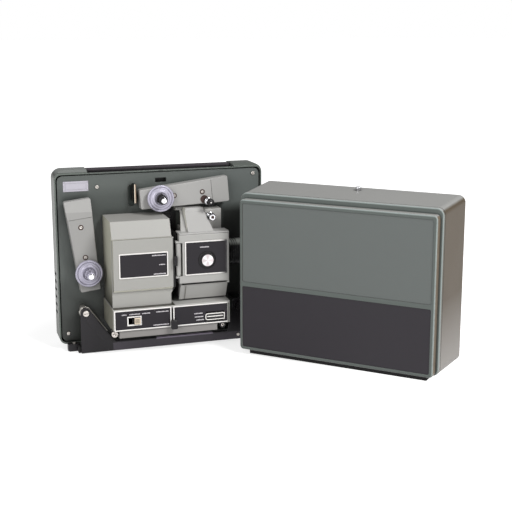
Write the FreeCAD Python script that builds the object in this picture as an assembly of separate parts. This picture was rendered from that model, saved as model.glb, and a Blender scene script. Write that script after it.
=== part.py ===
import FreeCAD, Part
import math
import os

# Dual gauge film projector in a carrying case, cover taken off and standing beside it.
# Millimetres. X runs along the mechanism panel to the lens side, Y to the back, Z up.
# The origin is on the floor below the middle of the panel, at the centre of the base.

Vec = FreeCAD.Vector
AXIS_X = Vec(1, 0, 0)
AXIS_Y = Vec(0, 1, 0)
AXIS_Z = Vec(0, 0, 1)

# Clearances
run_fit = 0.05
slide_gap = 0.3
seat_gap = 0.1

# Mechanism panel and rear shell
panel_w = 330.0
panel_h = 266.0
panel_t = 3.0
panel_z = 14.0
panel_r = 9.0
seam = 2.0
wall = 2.4
back_wall = 3.0
rim_front = -2.0
shell_depth = 44.0
shell_r = 11.0
block_r = 15.0
block_rise = 4.0
block_front = 8.0
lip_top = 283.4
back_round = 7.0
panel_half = panel_w / 2
panel_top = panel_z + panel_h
shell_half = panel_half + seam + wall
shell_bottom = panel_z - seam - wall
rim_top = panel_top + seam + wall
shell_top = rim_top + block_rise

# Carrying handle let into the top
handle_x0 = -117.0
handle_x1 = 121.5
recess_front = 6.0
handle_top = shell_top - 2.0
handle_front = 16.0
handle_t = 10.0
recess_floor = handle_top - handle_t - 1.1
handle_leg_x = 98.0
handle_leg_w = 14.0
handle_leg_t = 6.0
handle_leg_len = 44.0
handle_lift = 28.0
handle_stop = 3.0

# Base tray, its cheeks and the tilt pivot
base_half = 140.0
base_d = 34.0
base_h = 16.0
base_t = 2.5
lug_reach = 9.0
foot_inset = 22.0
under_case_h = 6.5
pad_h = 1.5
pivot_x = -base_half + 8.5
pivot_z = 66.6
cheek_top = 75.0
cheek_foot_x = pivot_x + 41.5
cheek_foot_z = 21.0
post_r = 5.4
bush_r = 4.6
pivot_pin_r = 3.2
clamp_x = base_half - 19.0
clamp_z = 58.0
tilt_max = 8.0
clamp_r = 3.0
quadrant_half = 10.0
quadrant_t = 3.0
slot_half = 3.5

# Balance spring round the pivot post
cheek_shoulder = (pivot_x + 5.4, cheek_top - 3.2)
slope_turn = math.atan2(cheek_foot_z - cheek_shoulder[1], cheek_foot_x - cheek_shoulder[0])
spring_r = 8.2
spring_wire_r = 1.1
spring_pitch = 2.8
spring_y = -29.6
spring_start = slope_turn + math.pi / 2
spring_end = 1.5 * math.pi + 4 * math.pi
spring_leg = 46.0
spring_back_leg = 14.0
spring_pin_x = pivot_x + 11

# Lamp house
lamp_x0 = -95.3
lamp_x1 = -2.2
lamp_z0 = 81.0
lamp_top = 216.0
lamp_brow_y = -65.0
lamp_brow_z = 189.5
lamp_face_y = -77.0
lamp_low_y = -70.0
lamp_low_z = 105.5
house_t = 2.2

# Lens house and its gate door
lens_x0 = 12.5
lens_x1 = 90.6
lens_z0 = 84.0
lens_top = 224.5
hood_brow_y = -31.0
hood_brow_h = 5.5
hood_foot_y = -72.5
hood_x1 = 69.0
hood_behind_x = 26.0
hood_behind_y = -50.0
hood_behind_z = 182.0
hood_tab_x = 19.4
hood_tab_y = -14.0
hood_tab_z = 219.0
hood_rib_x1 = 36.0
door_x0 = 10.0
door_x1 = 91.0
door_z0 = 113.0
door_z1 = 190.6
door_face_y = -77.0
door_back_y = -58.0
door_pin_x = 89.0
door_pin_y = -73.5
door_pin_r = 1.6
bar_x = 9.9
bar_y = -71.4
bar_r = 4.25
bar_pin_r = 1.4
bar_z0 = 125.2
bar_z1 = 178.2

# Light path, lens and focus drive
beam_y = -42.0
beam_z = 152.0
gate_x = 9.8
lens_r = 16.5
lens_rear = 30.0
lens_ring_x = 98.0
lens_ring_r = 21.0
lens_front = 124.0
mount_r = 19.9
mount_x1 = 91.4
focus_x = 54.2
focus_z = 149.2
focus_wheel_r = 8.0
knob_shaft_r = 4.0
knob_r = 10.4
knob_face_y = door_face_y - 5.2
knob_cap_r = 9.3
knob_cap_t = 0.8
rail_y = -63.0
rail_z = focus_z + focus_wheel_r + 0.05

# Motion lever: a flat plate between these two stations, turning on a cross pin
lever_x = (3.1, 5.1)
lever_pivot_y = -21.0
lever_pin_r = 2.0

# Control housing under both
ctl_x0 = -97.0
ctl_x1 = 91.0
ctl_z0 = 45.0
ctl_z1 = 80.8
ctl_face_y = -80.0
lip_x0 = -87.0
lip_x1 = 70.0
lip_z0 = 34.0

# Controls in the control housing
ctl_screw_x = (-94.5, 79.0)
ctl_screw_z = 41.5
ctl_screw_r = 5.0
switch_window = (-73.4, -54.4, 55.4, 66.8)
wheel_window = (50.6, 81.8, 49.6, 65.4)
size_slot_x = -3.5
wheel_r = 9.8
wheel_axle_r = 2.0
wheel_y = ctl_face_y - 3.2 + wheel_r
wheel_z = (wheel_window[2] + wheel_window[3]) / 2

# Trim plates on the front: x0, x1, z0, z1 and the face that each lies on
plate_t = 0.8
border_w = 1.7
border_t = 1.2
lamp_plate = (-85.2, -8.1, 128.2, 167.2, lamp_face_y)
left_plate = (-95.4, -5.1, 46.4, 79.0, ctl_face_y)
right_plate = (-2.0, 87.8, 46.4, 79.0, ctl_face_y)
focus_plate = (18.9, 86.7, 126.0, 180.0, door_face_y)

# Reel arms
arm_len = 146.0
arm_tip_w = 31.0
arm_root_w = 41.5
arm_back = -8.0
arm_front = -24.0
arm_wall = 2.0
arm_pivot_u = arm_len - 14.0
arm_spindle_u = 31.0
arm_root = 29.0
arm_root_drop = 4.5
arm_boss_r = 7.5
arm_pin_r = 4.0
arm_pulley_r = 9.0
spindle_r = 3.0
feed_tip = (-38.7, 240.1)
feed_angle = 4.6
takeup_tip = (-120.6, 99.3)
takeup_angle = 96.6
disc_r = 21.6
disc_y = -34.0
spindle_tip_y = -58.0
spindle_core_r = 6.2
spindle_key_y = -42.0

# Film rollers
roller_y0 = -36.0
roller_y1 = -50.0
roller_pin_r = 2.2
roller_flange_r = 6.2
inlet_roller = (71.2, 211.6)
inlet_y0 = -26.0
feed_roller_u = arm_len - 38.2
feed_roller_drop = 13.6

# Motor behind the panel, main shaft in front of it and the belt between them
motor_y = 22.0
motor_z = 104.0
motor_r = 17.5
main_y = -30.0
main_z = 128.0
drive_shaft_r = 2.5
motor_pulley_r = 7.0
main_pulley_r = 14.0
pulley_x = (-80.0, -71.0)
groove_x = (-77.0, -74.0)
groove_depth = 1.6
belt_x0 = -76.8
belt_x1 = -74.2
belt_t = 1.5

# Loose cover: its own frame has X along its front, Y from the front face to the open rim
cover_at = (209.4, -219.7)
cover_turn = -45.0
cover_frame_half = 157.3
cover_frame_z = (8.6, 248.2)
cover_front_half = 162.4
cover_front_z = (7.6, 257.0)
cover_rim_half = 166.6
cover_rim_z = (5.6, 262.6)
cover_ridge_y = 13.5
cover_groove_y = 19.5
cover_main_y = 21.0
cover_d = 107.0
cover_wall = 2.6
cover_frame_wall = 3.4
cover_panel_x = (-152.6, 151.8)
cover_rib_z = (111.4, 118.2)
cover_panel_z = (13.4, 242.4)
cover_recess = 1.6
latch_x = 4.0
latch_y = 86.0


def box(x0, x1, y0, y1, z0, z1):
    return Part.makeBox(x1 - x0, y1 - y0, z1 - z0, Vec(x0, y0, z0))


def rod(axis, centre, radius, start, end):
    """Cylinder along X, Y or Z between two stations; centre gives the other two coordinates."""
    low = min(start, end)
    length = abs(end - start)
    if axis == "x":
        return Part.makeCylinder(radius, length, Vec(low, centre[0], centre[1]), AXIS_X)
    if axis == "y":
        return Part.makeCylinder(radius, length, Vec(centre[0], low, centre[1]), AXIS_Y)
    return Part.makeCylinder(radius, length, Vec(centre[0], centre[1], low), AXIS_Z)


def wire_xz(x0, x1, z0, z1, radius, y):
    """Rounded rectangle standing in the XZ plane."""
    r = radius
    k = r * (1 - math.sqrt(0.5))
    corners = [
        (Vec(x1 - r, y, z0), Vec(x1 - k, y, z0 + k), Vec(x1, y, z0 + r)),
        (Vec(x1, y, z1 - r), Vec(x1 - k, y, z1 - k), Vec(x1 - r, y, z1)),
        (Vec(x0 + r, y, z1), Vec(x0 + k, y, z1 - k), Vec(x0, y, z1 - r)),
        (Vec(x0, y, z0 + r), Vec(x0 + k, y, z0 + k), Vec(x0 + r, y, z0)),
    ]
    edges = []
    for index, (start, middle, end) in enumerate(corners):
        before = corners[index - 1][2]
        edges.append(Part.LineSegment(before, start).toShape())
        edges.append(Part.Arc(start, middle, end).toShape())
    return Part.Wire(edges)


def slab_xz(x0, x1, z0, z1, radius, y0, y1):
    face = Part.Face(wire_xz(x0, x1, z0, z1, radius, y0))
    return face.extrude(Vec(0, y1 - y0, 0))


def prism_xz(points, y0, y1):
    ring = [Vec(x, y0, z) for x, z in points]
    return Part.Face(Part.makePolygon(ring + ring[:1])).extrude(Vec(0, y1 - y0, 0))


def prism_yz(points, x0, x1):
    ring = [Vec(x0, y, z) for y, z in points]
    return Part.Face(Part.makePolygon(ring + ring[:1])).extrude(Vec(x1 - x0, 0, 0))


def prism_xy(points, z0, z1):
    ring = [Vec(x, y, z0) for x, y in points]
    return Part.Face(Part.makePolygon(ring + ring[:1])).extrude(Vec(0, 0, z1 - z0))


def soften(shape, radius, wanted):
    """Round the edges that the test picks."""
    edges = [edge for edge in shape.Edges if wanted(edge)]
    return shape.makeFillet(radius, edges) if edges else shape


def edge_span(edge):
    bound = edge.BoundBox
    return bound.XLength, bound.YLength, bound.ZLength


def at_y(edge, y):
    return abs(edge.BoundBox.YMin - y) < 0.01 and edge.BoundBox.YLength < 0.01


def group(solids):
    return Part.makeCompound(solids)


def cut_all(shape, tools):
    for tool in tools:
        shape = shape.cut(tool)
    return shape


def base_tray():
    """Black tray with a tall front wall, a folded top edge and two cheeks standing on that wall."""
    front = -base_d
    tub = box(-base_half, base_half, front, base_d, pad_h, under_case_h)
    tub = tub.cut(box(-base_half + base_t, base_half - base_t, front + base_t, base_d - base_t,
                      pad_h + base_t, under_case_h + 1))
    front_wall = slab_xz(-base_half, base_half, pad_h, base_h, 1.4, front, front + base_t)
    flange = box(-base_half + 3, base_half - 3, front, front + 7, base_h - base_t, base_h)
    flange = soften(flange, 1.2, lambda e: at_y(e, front) and edge_span(e)[0] > 50)
    cheek = prism_xz([(-base_half, pad_h + 2), (-base_half, cheek_top - 10), (-base_half + 3, cheek_top - 2),
                      (pivot_x, cheek_top), cheek_shoulder, (cheek_foot_x, cheek_foot_z),
                      (cheek_foot_x + 6, base_h - 1), (cheek_foot_x, pad_h + 2)], front, front + base_t)
    cheek = soften(cheek, 1.5, lambda e: edge_span(e)[1] > 2 and e.BoundBox.ZMin > cheek_top - 11)
    band = prism_xz([(pivot_x - 1, 57), (pivot_x + 8.4, 66), (cheek_foot_x - 2.4, cheek_foot_z),
                     (cheek_foot_x + 1, base_h + 0.5), (cheek_foot_x - 13.5, base_h + 0.5)],
                    front - 1.6, front + 0.5)
    right = prism_xz([(base_half, pad_h + 2), (base_half, 50), (clamp_x + 9, 68), (clamp_x - 9, 68),
                      (clamp_x - 22, base_h - 1), (clamp_x - 22, pad_h + 2)], front, front + base_t)
    right = soften(right, 5.0, lambda e: edge_span(e)[1] > 2 and e.BoundBox.ZMin > 45)
    lug_x = base_half + lug_reach
    lugs = [box(side * lug_x - 9.5, side * lug_x + 9.5, -16, -4, pad_h, 12) for side in (-1, 1)]
    lugs = [soften(lug, 2.0, lambda e: edge_span(e)[2] > 5) for lug in lugs]
    seat_x, seat_z = spring_seat()
    seat = rod("y", (seat_x, seat_z), 1.6, front + base_t - 0.5, spring_y + spring_wire_r)
    body = tub.multiFuse([front_wall, flange, cheek, band, right, seat] + lugs)
    body = body.cut(rod("y", (pivot_x, pivot_z), bush_r, front - 3, front + 6))
    body = body.cut(rod("y", (clamp_x, clamp_z), clamp_r + run_fit, front - 3, front + 6))
    return body.removeSplitter()


def spring_seat():
    """Centre of the cheek's short pin that the spring's long leg bears on."""
    reach = spring_r - spring_wire_r - 1.6 - seat_gap
    return (pivot_x + reach * math.cos(spring_start) + 36 * math.cos(slope_turn),
            pivot_z + reach * math.sin(spring_start) + 36 * math.sin(slope_turn))


def rubber_feet():
    """Round pads under the tray, one under each side lug, and the grey pads on its ends."""
    foot_x = base_half - foot_inset
    lug_x = base_half + lug_reach
    pads = [rod("z", (x, y), 8.0, 0, pad_h) for x in (-foot_x, foot_x) for y in (-22, 24)]
    pads.append(rod("z", (0, 0), 8.0, 0, pad_h))
    pads += [box(side * lug_x - 7, side * lug_x + 7, -14, -6, 0, pad_h) for side in (-1, 1)]
    for side in (-1, 1):
        near = side * base_half
        far = side * (base_half + 4)
        pads.append(box(min(near, far), max(near, far), -30, -19, pad_h, 11.5))
    return group(pads)


def base_screws():
    """Round headed screws in the two side lugs and at the right end of the front wall."""
    heads = []
    for side in (-1, 1):
        heads.append(rod("z", (side * (base_half + lug_reach - 1), -10), 3.0, 12, 14))
    heads.append(rod("y", (base_half - foot_inset, 9.0), 2.4, -base_d - 1.4, -base_d))
    return group(heads)


def pivot_bush():
    sleeve = rod("y", (pivot_x, pivot_z), bush_r, -base_d, -base_d + base_t)
    return sleeve.cut(rod("y", (pivot_x, pivot_z), pivot_pin_r + run_fit, -base_d - 1, -base_d + 6))


def pivot_shaft():
    """Post on the panel with a headed pin that runs in the cheek's bush."""
    post = rod("y", (pivot_x, pivot_z), post_r, -base_d + base_t + slide_gap, 0)
    pin = rod("y", (pivot_x, pivot_z), pivot_pin_r, -base_d - 1.0, -base_d + base_t + 1)
    head = rod("y", (pivot_x, pivot_z), 5.0, -base_d - 4.0, -base_d - slide_gap)
    head = soften(head, 1.2, lambda e: at_y(e, -base_d - 4.0))
    slot = box(pivot_x - 4.6, pivot_x + 4.6, -base_d - 4.2, -base_d - 3.2, pivot_z - 0.6, pivot_z + 0.6)
    return post.multiFuse([pin, head]).cut(slot)


def balance_spring():
    """Wire spring: a leg along the cheek's slope, turns round the post and a leg under the case's pin."""
    rise = spring_pitch / (2 * math.pi)

    def place(turn):
        y = spring_y + rise * (turn - spring_start)
        return Vec(pivot_x + spring_r * math.cos(turn), y, pivot_z + spring_r * math.sin(turn))

    path = []
    along = Vec(math.cos(slope_turn), 0, math.sin(slope_turn))
    first = place(spring_start)
    leg_end = first + along * spring_leg
    path.append(Part.LineSegment(leg_end, first).toShape())
    for turn in quarter_turns():
        path.append(Part.Arc(place(turn[0]), place((turn[0] + turn[1]) / 2), place(turn[1])).toShape())
    last = place(spring_end)
    path.append(Part.LineSegment(last, last + Vec(spring_back_leg, 0, 0)).toShape())
    wire = Part.Wire(path)
    profile = Part.Wire(Part.makeCircle(spring_wire_r, leg_end, along))
    tube = wire.makePipeShell([profile], True, False)
    print("spring: least gap between turns", round(spring_pitch - 2 * spring_wire_r, 2),
          "volume share", round(tube.Volume / (math.pi * spring_wire_r ** 2 * wire.Length), 4))
    return tube


def quarter_turns():
    """Stretches of a quarter turn from the first tangent point to the last."""
    total = spring_end - spring_start
    count = math.ceil(total / (math.pi / 2))
    step = total / count
    return [(spring_start + step * index, spring_start + step * (index + 1)) for index in range(count)]


def tilt_knob():
    """Clamp knob on the right cheek; its stem passes the cheek and the quadrant's slot."""
    front = -base_d
    knob = rod("y", (clamp_x, clamp_z), 8.0, front - 9, front - slide_gap)
    flutes = []
    for index in range(10):
        turn = math.radians(36 * index)
        flutes.append(rod("y", (clamp_x + 8.6 * math.cos(turn), clamp_z + 8.6 * math.sin(turn)), 1.3,
                          front - 10, front))
    knob = cut_all(knob, flutes)
    back = front + base_t + slide_gap + quadrant_t
    stem = rod("y", (clamp_x, clamp_z), clamp_r, front - 1, back + 3)
    nut = rod("y", (clamp_x, clamp_z), 4.4, back + slide_gap, back + 3.4)
    return knob.multiFuse([stem, nut])


def tilt_quadrant():
    """Slotted strip that hangs from the panel behind the right cheek and rises with the case."""
    y0 = -base_d + base_t + slide_gap
    y1 = y0 + quadrant_t
    low = base_h + 2 * slide_gap
    high = 70.0
    strip = slab_xz(clamp_x - quadrant_half - 2, clamp_x + quadrant_half, low, high, 4.0, y0, y1)
    feet = [box(clamp_x - quadrant_half, clamp_x + quadrant_half - 2, y0 + 1, 0, high - 4, high),
            box(clamp_x - quadrant_half, clamp_x + quadrant_half - 4, y0 + 1, 0, low, low + 1.6)]
    reach = math.hypot(clamp_x - pivot_x, clamp_z - pivot_z)
    start = math.atan2(clamp_z - pivot_z, clamp_x - pivot_x)
    end = start - math.radians(tilt_max)
    low_end = (pivot_x + reach * math.cos(end), pivot_z + reach * math.sin(end))
    ring = rod("y", (pivot_x, pivot_z), reach + slot_half, y0 - 1, y1 + 1)
    ring = ring.cut(rod("y", (pivot_x, pivot_z), reach - slot_half, y0 - 1, y1 + 1))
    ring = ring.common(box(clamp_x - 30, clamp_x + 30, y0 - 1, y1 + 1, low_end[1], clamp_z))
    ends = [rod("y", place, slot_half, y0 - 1, y1 + 1) for place in ((clamp_x, clamp_z), low_end)]
    return cut_all(strip.multiFuse(feet), [ring] + ends)


def shell_block():
    """Outside of the rear shell: the top stands higher than the rim and slopes up from it."""
    low = slab_xz(-shell_half, shell_half, shell_bottom, 200, shell_r, rim_front, shell_depth)
    high = slab_xz(-shell_half, shell_half, 100, shell_top, block_r, rim_front, shell_depth)
    block = low.fuse(high).removeSplitter()
    block = soften(block, back_round, lambda e: at_y(e, shell_depth))
    slope = prism_yz([(rim_front - 1, shell_top + 1), (rim_front - 1, rim_top), (rim_front, rim_top),
                      (block_front, shell_top), (block_front, shell_top + 1)], -shell_half, shell_half)
    return block.cut(slope)


def rear_shell():
    """Tray shaped back of the case with a handle recess, side louvres and a rear grille."""
    outer = shell_block()
    inner = slab_xz(-panel_half - seam, panel_half + seam, panel_z - seam, panel_top + seam, shell_r - wall,
                    rim_front - 1, shell_depth - back_wall)
    shell = outer.cut(inner)
    for start, end in ((-panel_half + 8, handle_x0 - 2 * wall), (handle_x1 + 2 * wall, panel_half - 8)):
        shell = shell.cut(box(start, end, block_front, shell_depth - back_round, panel_top, shell_top - wall))
    tub = box(handle_x0 - wall, handle_x1 + wall, recess_front - wall, shell_depth,
              recess_floor - wall, shell_top).common(outer)
    shell = shell.fuse(tub)
    shell = shell.cut(box(handle_x0, handle_x1, recess_front, shell_depth + 1, recess_floor, shell_top + 1))
    shell = shell.cut(box(handle_x0, handle_x1, rim_front - 1, recess_front + 1, lip_top, shell_top + 1))
    tools = [leg_box(side, slide_gap, recess_floor - wall - 1, recess_floor + 1) for side in (-1, 1)]
    for index in range(6):
        z = 56 + 12.5 * index
        for side in (-1, 1):
            tools.append(box(side * shell_half - 4, side * shell_half + 4, 13, 34, z, z + 4.5))
    for row in range(7):
        z = 96 + 14 * row
        tools.append(box(-92, -20, shell_depth - 5, shell_depth + 1, z, z + 5))
    for row in range(4):
        z = 60 + 14 * row
        tools.append(box(40, 100, shell_depth - 5, shell_depth + 1, z, z + 5))
    tools.append(slab_xz(-140, -104, 40, 66, 4, shell_depth - 5, shell_depth + 1))
    tools.append(box(-3.5, 3.5, rim_front - 1, 0, panel_top + seam - 0.5, panel_top + seam + 0.9))
    shell = cut_all(shell, tools)
    feet = [rod("y", (x, z), 7, shell_depth, shell_depth + 2.5) for x in (-145, 145) for z in (34, 258)]
    return shell.multiFuse(feet)


def leg_box(side, margin, z0, z1):
    """Block round one leg of the handle, larger by a margin all round."""
    x = side * handle_leg_x
    y = (handle_front + shell_depth - 1) / 2
    half_w = handle_leg_w / 2 + margin
    half_t = handle_leg_t / 2 + margin
    return box(x - half_w, x + half_w, y - half_t, y + half_t, z0, z1)


def carry_handle():
    """Flat grip flush with the top of the case on two legs that slide up through the recess floor."""
    y0 = handle_front
    y1 = shell_depth - 1
    grip = box(handle_x0 + 1.0, handle_x1 - 1.0, y0, y1, handle_top - handle_t, handle_top)
    grip = soften(grip, 3.0, lambda e: edge_span(e)[0] > 100 and e.BoundBox.ZMin > handle_top - 1)
    hollow = box(handle_x0 + 26, handle_x1 - 26, y0 + 5, y1 - 5, handle_top - handle_t - 1, handle_top - 4)
    grip = grip.cut(hollow)
    foot_top = recess_floor - wall - slide_gap - handle_lift
    legs = []
    for side in (-1, 1):
        legs.append(leg_box(side, 0, handle_top - handle_t - handle_leg_len, handle_top - 5))
        legs.append(leg_box(side, handle_stop, foot_top - 5, foot_top))
    return grip.multiFuse(legs)


def mechanism_panel():
    """Flat plate that closes the case, with screw posts behind it and the latch keeper folded in."""
    plate = slab_xz(-panel_half, panel_half, panel_z, panel_top, panel_r, 0, panel_t)
    plate = plate.cut(box(-9, 9, -1, panel_t + 1, 264, 271))
    plate = plate.cut(box(belt_x0 - 3, belt_x1 + 3, -1, panel_t + 1, 84, 150))
    posts = [rod("y", (x, z), 4.0, panel_t, shell_depth - back_wall) for x, z in post_places()]
    keeper = box(-14, 14, panel_t, panel_t + 9, 259, recess_floor - wall - slide_gap)
    keeper = keeper.cut(box(-12, 12, panel_t - 1, panel_t + 7.4, 261, 271))
    return plate.multiFuse(posts + [keeper])


def post_places():
    return (-140, 30), (140, 30), (-140, 250), (140, 250)


def panel_screws():
    """Round heads that hold the panel to the shell's posts."""
    heads = []
    for x, z in ((-102.5, 260.8), (154.8, 271.4), (-155, 26.2), (131, 26.2), (140, 150)):
        head = rod("y", (x, z), 3.0, -1.6, 0)
        heads.append(soften(head, 0.9, lambda e: at_y(e, -1.6)))
    return group(heads)


def label_plate():
    """Small bare metal plate."""
    return slab_xz(-155.6, -116.2, 255.2, 271.4, 0.8, -0.6, 0)


def arm_clip():
    """Spring clip standing off the panel beside the folded feed arm's tip, on a rounded foot."""
    x = -46.4
    blade = box(x, x + 1.2, -20, -1.2, 235, 265)
    lip = box(x - 0.8, x + 2.0, -20, -18.8, 235, 265)
    foot = slab_xz(-53.6, x + 2.4, 228, 262, 4.0, -1.2, 0)
    return blade.multiFuse([lip, foot])


def lamp_house():
    """Faceted hollow housing over the lamp, open at its back where the panel closes it."""
    t = house_t

    def profile(inset):
        back = min(inset, 1.0)
        return [(back, lamp_z0 + inset), (back, lamp_top - inset),
                (lamp_brow_y + inset * 0.6, lamp_top - inset), (lamp_face_y + inset, lamp_brow_z),
                (lamp_low_y + inset, lamp_brow_z - 2 - inset), (lamp_low_y + inset, lamp_z0 + inset)]

    core = prism_yz(profile(0), lamp_x0, lamp_x1)
    core = soften(core, 1.6, lambda e: edge_span(e)[0] > 90 and e.BoundBox.ZMin > lamp_brow_z - 1
                  and e.BoundBox.YMin < -60)
    bulge = prism_xz([(lamp_x0 + 1.6, 105.0), (-2.6, 98.0), (3.4, 106.0), (1.0, lamp_brow_z - 0.8),
                      (lamp_x0 + 1.6, lamp_brow_z - 0.8)], -52, lamp_face_y)
    shave = prism_yz([(lamp_low_y, 97.0), (lamp_low_y, lamp_low_z), (lamp_face_y - 1, lamp_low_z + 5),
                      (lamp_face_y - 1, 97.0)], lamp_x0 - 1, lamp_x1 + 8)
    bulge = bulge.cut(shave)
    body = core.fuse(bulge)
    room = prism_yz(profile(t), lamp_x0 + t, lamp_x1 - t)
    pocket = box(lamp_x0 + 1.6 + t, lamp_x1 - t, lamp_face_y + t, lamp_low_y + t + 0.5,
                 lamp_low_z + 4, lamp_brow_z - 3)
    body = body.cut(room).cut(pocket)
    vents = [box(x, x + 8, -50, -8, lamp_z0 - 1, lamp_z0 + t + 1) for x in range(-80, -20, 14)]
    light = rod("x", (beam_y, beam_z), 9.0, lamp_x1 - t - 1, 5)
    screw_hole = rod("x", (-6.3, 142.0), 1.9, lamp_x0 - 1, lamp_x0 + t + 1)
    return cut_all(body, vents + [light, screw_hole]).removeSplitter()


def hood_side(inset):
    """Side view of the hood: flat top, short upright brow, long slope down to the door."""
    back = min(inset, 1.0)
    top = lens_top - inset
    return [(back, 150), (back, top), (hood_brow_y + inset, top),
            (hood_brow_y - 0.8 + inset, lens_top - hood_brow_h),
            (hood_foot_y + inset, door_z1 + 0.8), (hood_foot_y + inset, 150)]


def hood(inset):
    """Main body of the hood, narrower at the top and towards the panel."""
    slope = prism_yz(hood_side(inset), 0, 100)
    outline = prism_xz([(25.5 + inset, 186), (32.0 + inset, lens_top), (61.2 - inset, lens_top),
                        (hood_x1 - 0.5 - inset, 191), (hood_x1 - 0.5 - inset, 186)], -90, 2)
    behind = prism_xy([(32.5 + inset, 2), (26.0 + inset, -73), (26.0 + inset, -90), (100, -90), (100, 2)],
                      150, 230)
    return slope.common(outline).common(behind)


def hood_flange():
    """Flat rib left of the hood's slope, set back from it, with a small tab at the top."""
    foot_z = door_z1 + 0.8
    band = prism_yz([(hood_tab_y - 1, hood_tab_z), (-61.5, foot_z), (-59.0, foot_z),
                     (hood_tab_y + 1.5, hood_tab_z)], 0, 100)
    outline = prism_xz([(16.6, door_z1), (16.6, foot_z), (26.6, hood_tab_z - 3), (26.6, hood_tab_z + 3),
                        (hood_rib_x1, hood_tab_z + 3), (hood_rib_x1, door_z1)], -90, 2)
    tab = box(hood_tab_x, hood_rib_x1, hood_tab_y, -0.2, hood_tab_z, lens_top)
    return band.common(outline).fuse(soften(tab, 1.0, lambda e: at_y(e, hood_tab_y)))


def lens_house():
    """Housing round the lens and gate: hood, rear box and sloping lower part, front open for the door."""
    t = house_t
    low = prism_yz([(0, lens_z0), (0, door_z0 - slide_gap), (-73.0, door_z0 - slide_gap), (-72.0, 110.5),
                    (-60.0, lens_z0)], lens_x0, lens_x1 - 1)
    low_rib = prism_yz([(-50, lens_z0), (-50, 110), (-73.6, 110), (-61.6, lens_z0)], lens_x0, lens_x0 + 6.5)
    back_y = door_back_y + slide_gap + 0.6
    tall = door_z1 + 0.6
    rear = [box(lens_x0, lens_x1, back_y, 0, door_z0 - 2, hood_behind_z),
            box(lens_x0, lens_x1, back_y, hood_behind_y, door_z0 - 2, tall),
            box(hood_behind_x, hood_x1, back_y, 0, door_z0 - 2, tall)]
    cap = hood(0).cut(box(0, 100, -100, 5, 100, door_z1 + slide_gap))
    ledge = box(lens_x0 - 1.5, door_x1, -76.0, hood_behind_y, door_z1 + slide_gap, door_z1 + 2.4)
    ledge_back = box(hood_behind_x, hood_x1, -76.0, 0, door_z1 + slide_gap, door_z1 + 2.4)
    foot = box(door_x1 - 7, door_x1, -76.0, -66, door_z0 - 3.2, door_z0 - slide_gap)
    body = low.multiFuse([low_rib, cap, hood_flange(), ledge, ledge_back, foot] + rear)
    room = prism_yz([(1, lens_z0 + t), (1, door_z0 - t), (-70.0, door_z0 - t), (-57.5, lens_z0 + t)],
                    lens_x0 + t, lens_x1 - 1 - t)
    floor_z = door_z0 - slide_gap - t - 1
    rooms = [box(lens_x0 + t, lens_x1 - t, -80, 1, floor_z, hood_behind_z - t),
             box(lens_x0 + t, lens_x1 - t, -80, hood_behind_y - t, floor_z, tall - t),
             box(hood_behind_x + t, hood_x1 - t, -80, 1, floor_z, tall - t)]
    attic = hood(t).cut(box(0, 100, -100, 5, 100, door_z1 + 2.4))
    vent = box(36, 60, -50, -8, door_z1 - 2, door_z1 + 3)
    bore = rod("x", (beam_y, beam_z), mount_r + run_fit, lens_x1 - t - 1, lens_x1 + 1)
    light = box(lens_x0 - 1, lens_x0 + t + 1, beam_y - 14, beam_y + 14, beam_z - 20, beam_z + 20)
    pin_hole = rod("z", (door_pin_x, door_pin_y), door_pin_r + run_fit, door_z0 - 4, door_z1 + 3)
    return cut_all(body, rooms + [room, attic, vent, bore, light, pin_hole]).removeSplitter()


def gate_door():
    """Front door of the lens house: shallow box hinged at its right edge, with ears for its catch bar."""
    t = house_t
    shell = box(door_x0, door_x1, door_face_y, door_back_y, door_z0, door_z1)
    shell = soften(shell, 1.4, lambda e: at_y(e, door_face_y))
    room = box(door_x0 + t, door_x1 - 3.6, door_face_y + t, door_back_y + 1, door_z0 + t, door_z1 - t)
    knob_hole = rod("y", (focus_x, focus_z), knob_shaft_r + run_fit, door_face_y - 1, door_face_y + t + 1)
    lens_gap = box(door_x1 - 5, door_x1 + 1, -70, door_back_y + 1, beam_z - 23, beam_z + 23)
    beam_gap = box(door_x0 - 1, door_x0 + t + 1, -66, door_back_y + 1, door_z0 - 1, door_z1 + 1)
    notch_x = bar_x + bar_r + 1.0
    notch_y = bar_y + bar_r + 0.8
    notch = box(door_x0 - 1, notch_x, door_face_y - 1, notch_y, bar_z0, bar_z1)
    pocket = box(door_x0, notch_x + t, door_face_y, notch_y + t, bar_z0 - t, bar_z1 + t)
    body = shell.cut(room).fuse(pocket.common(shell)).cut(notch)
    ears = [box(bar_x - bar_r - 1, bar_x + bar_r + 1, bar_y - bar_r, bar_y + bar_r + 1, z, z + 3.0)
            for z in (bar_z0 - 3.0, bar_z1)]
    holes = rod("z", (bar_x, bar_y), bar_pin_r + run_fit, bar_z0 - 4, bar_z1 + 4)
    pins = [rod("z", (door_pin_x, door_pin_y), door_pin_r, door_z1 - 0.5, door_z1 + 3.6),
            rod("z", (door_pin_x, door_pin_y), door_pin_r, door_z0 - 3.0, door_z0 + 0.5)]
    body = body.multiFuse(ears + pins)
    return cut_all(body, [knob_hole, lens_gap, beam_gap, holes]).removeSplitter()


def catch_bar():
    """Upright round catch bar that turns on two small pins between the door's ears."""
    bar = rod("z", (bar_x, bar_y), bar_r, bar_z0 + slide_gap, bar_z1 - slide_gap)
    bar = soften(bar, 0.8, lambda e: edge_span(e)[2] < 0.01)
    pins = rod("z", (bar_x, bar_y), bar_pin_r, bar_z0 - 2.4, bar_z1 + 2.4)
    return bar.fuse(pins)


def plates(areas, inset, front, back):
    """Flat fields or their frames on the given areas."""
    solids = []
    for x0, x1, z0, z1, face in areas:
        solids.append(slab_xz(x0 + inset, x1 - inset, z0 + inset, z1 - inset, 1.0, face - front, face - back))
    return solids


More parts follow.
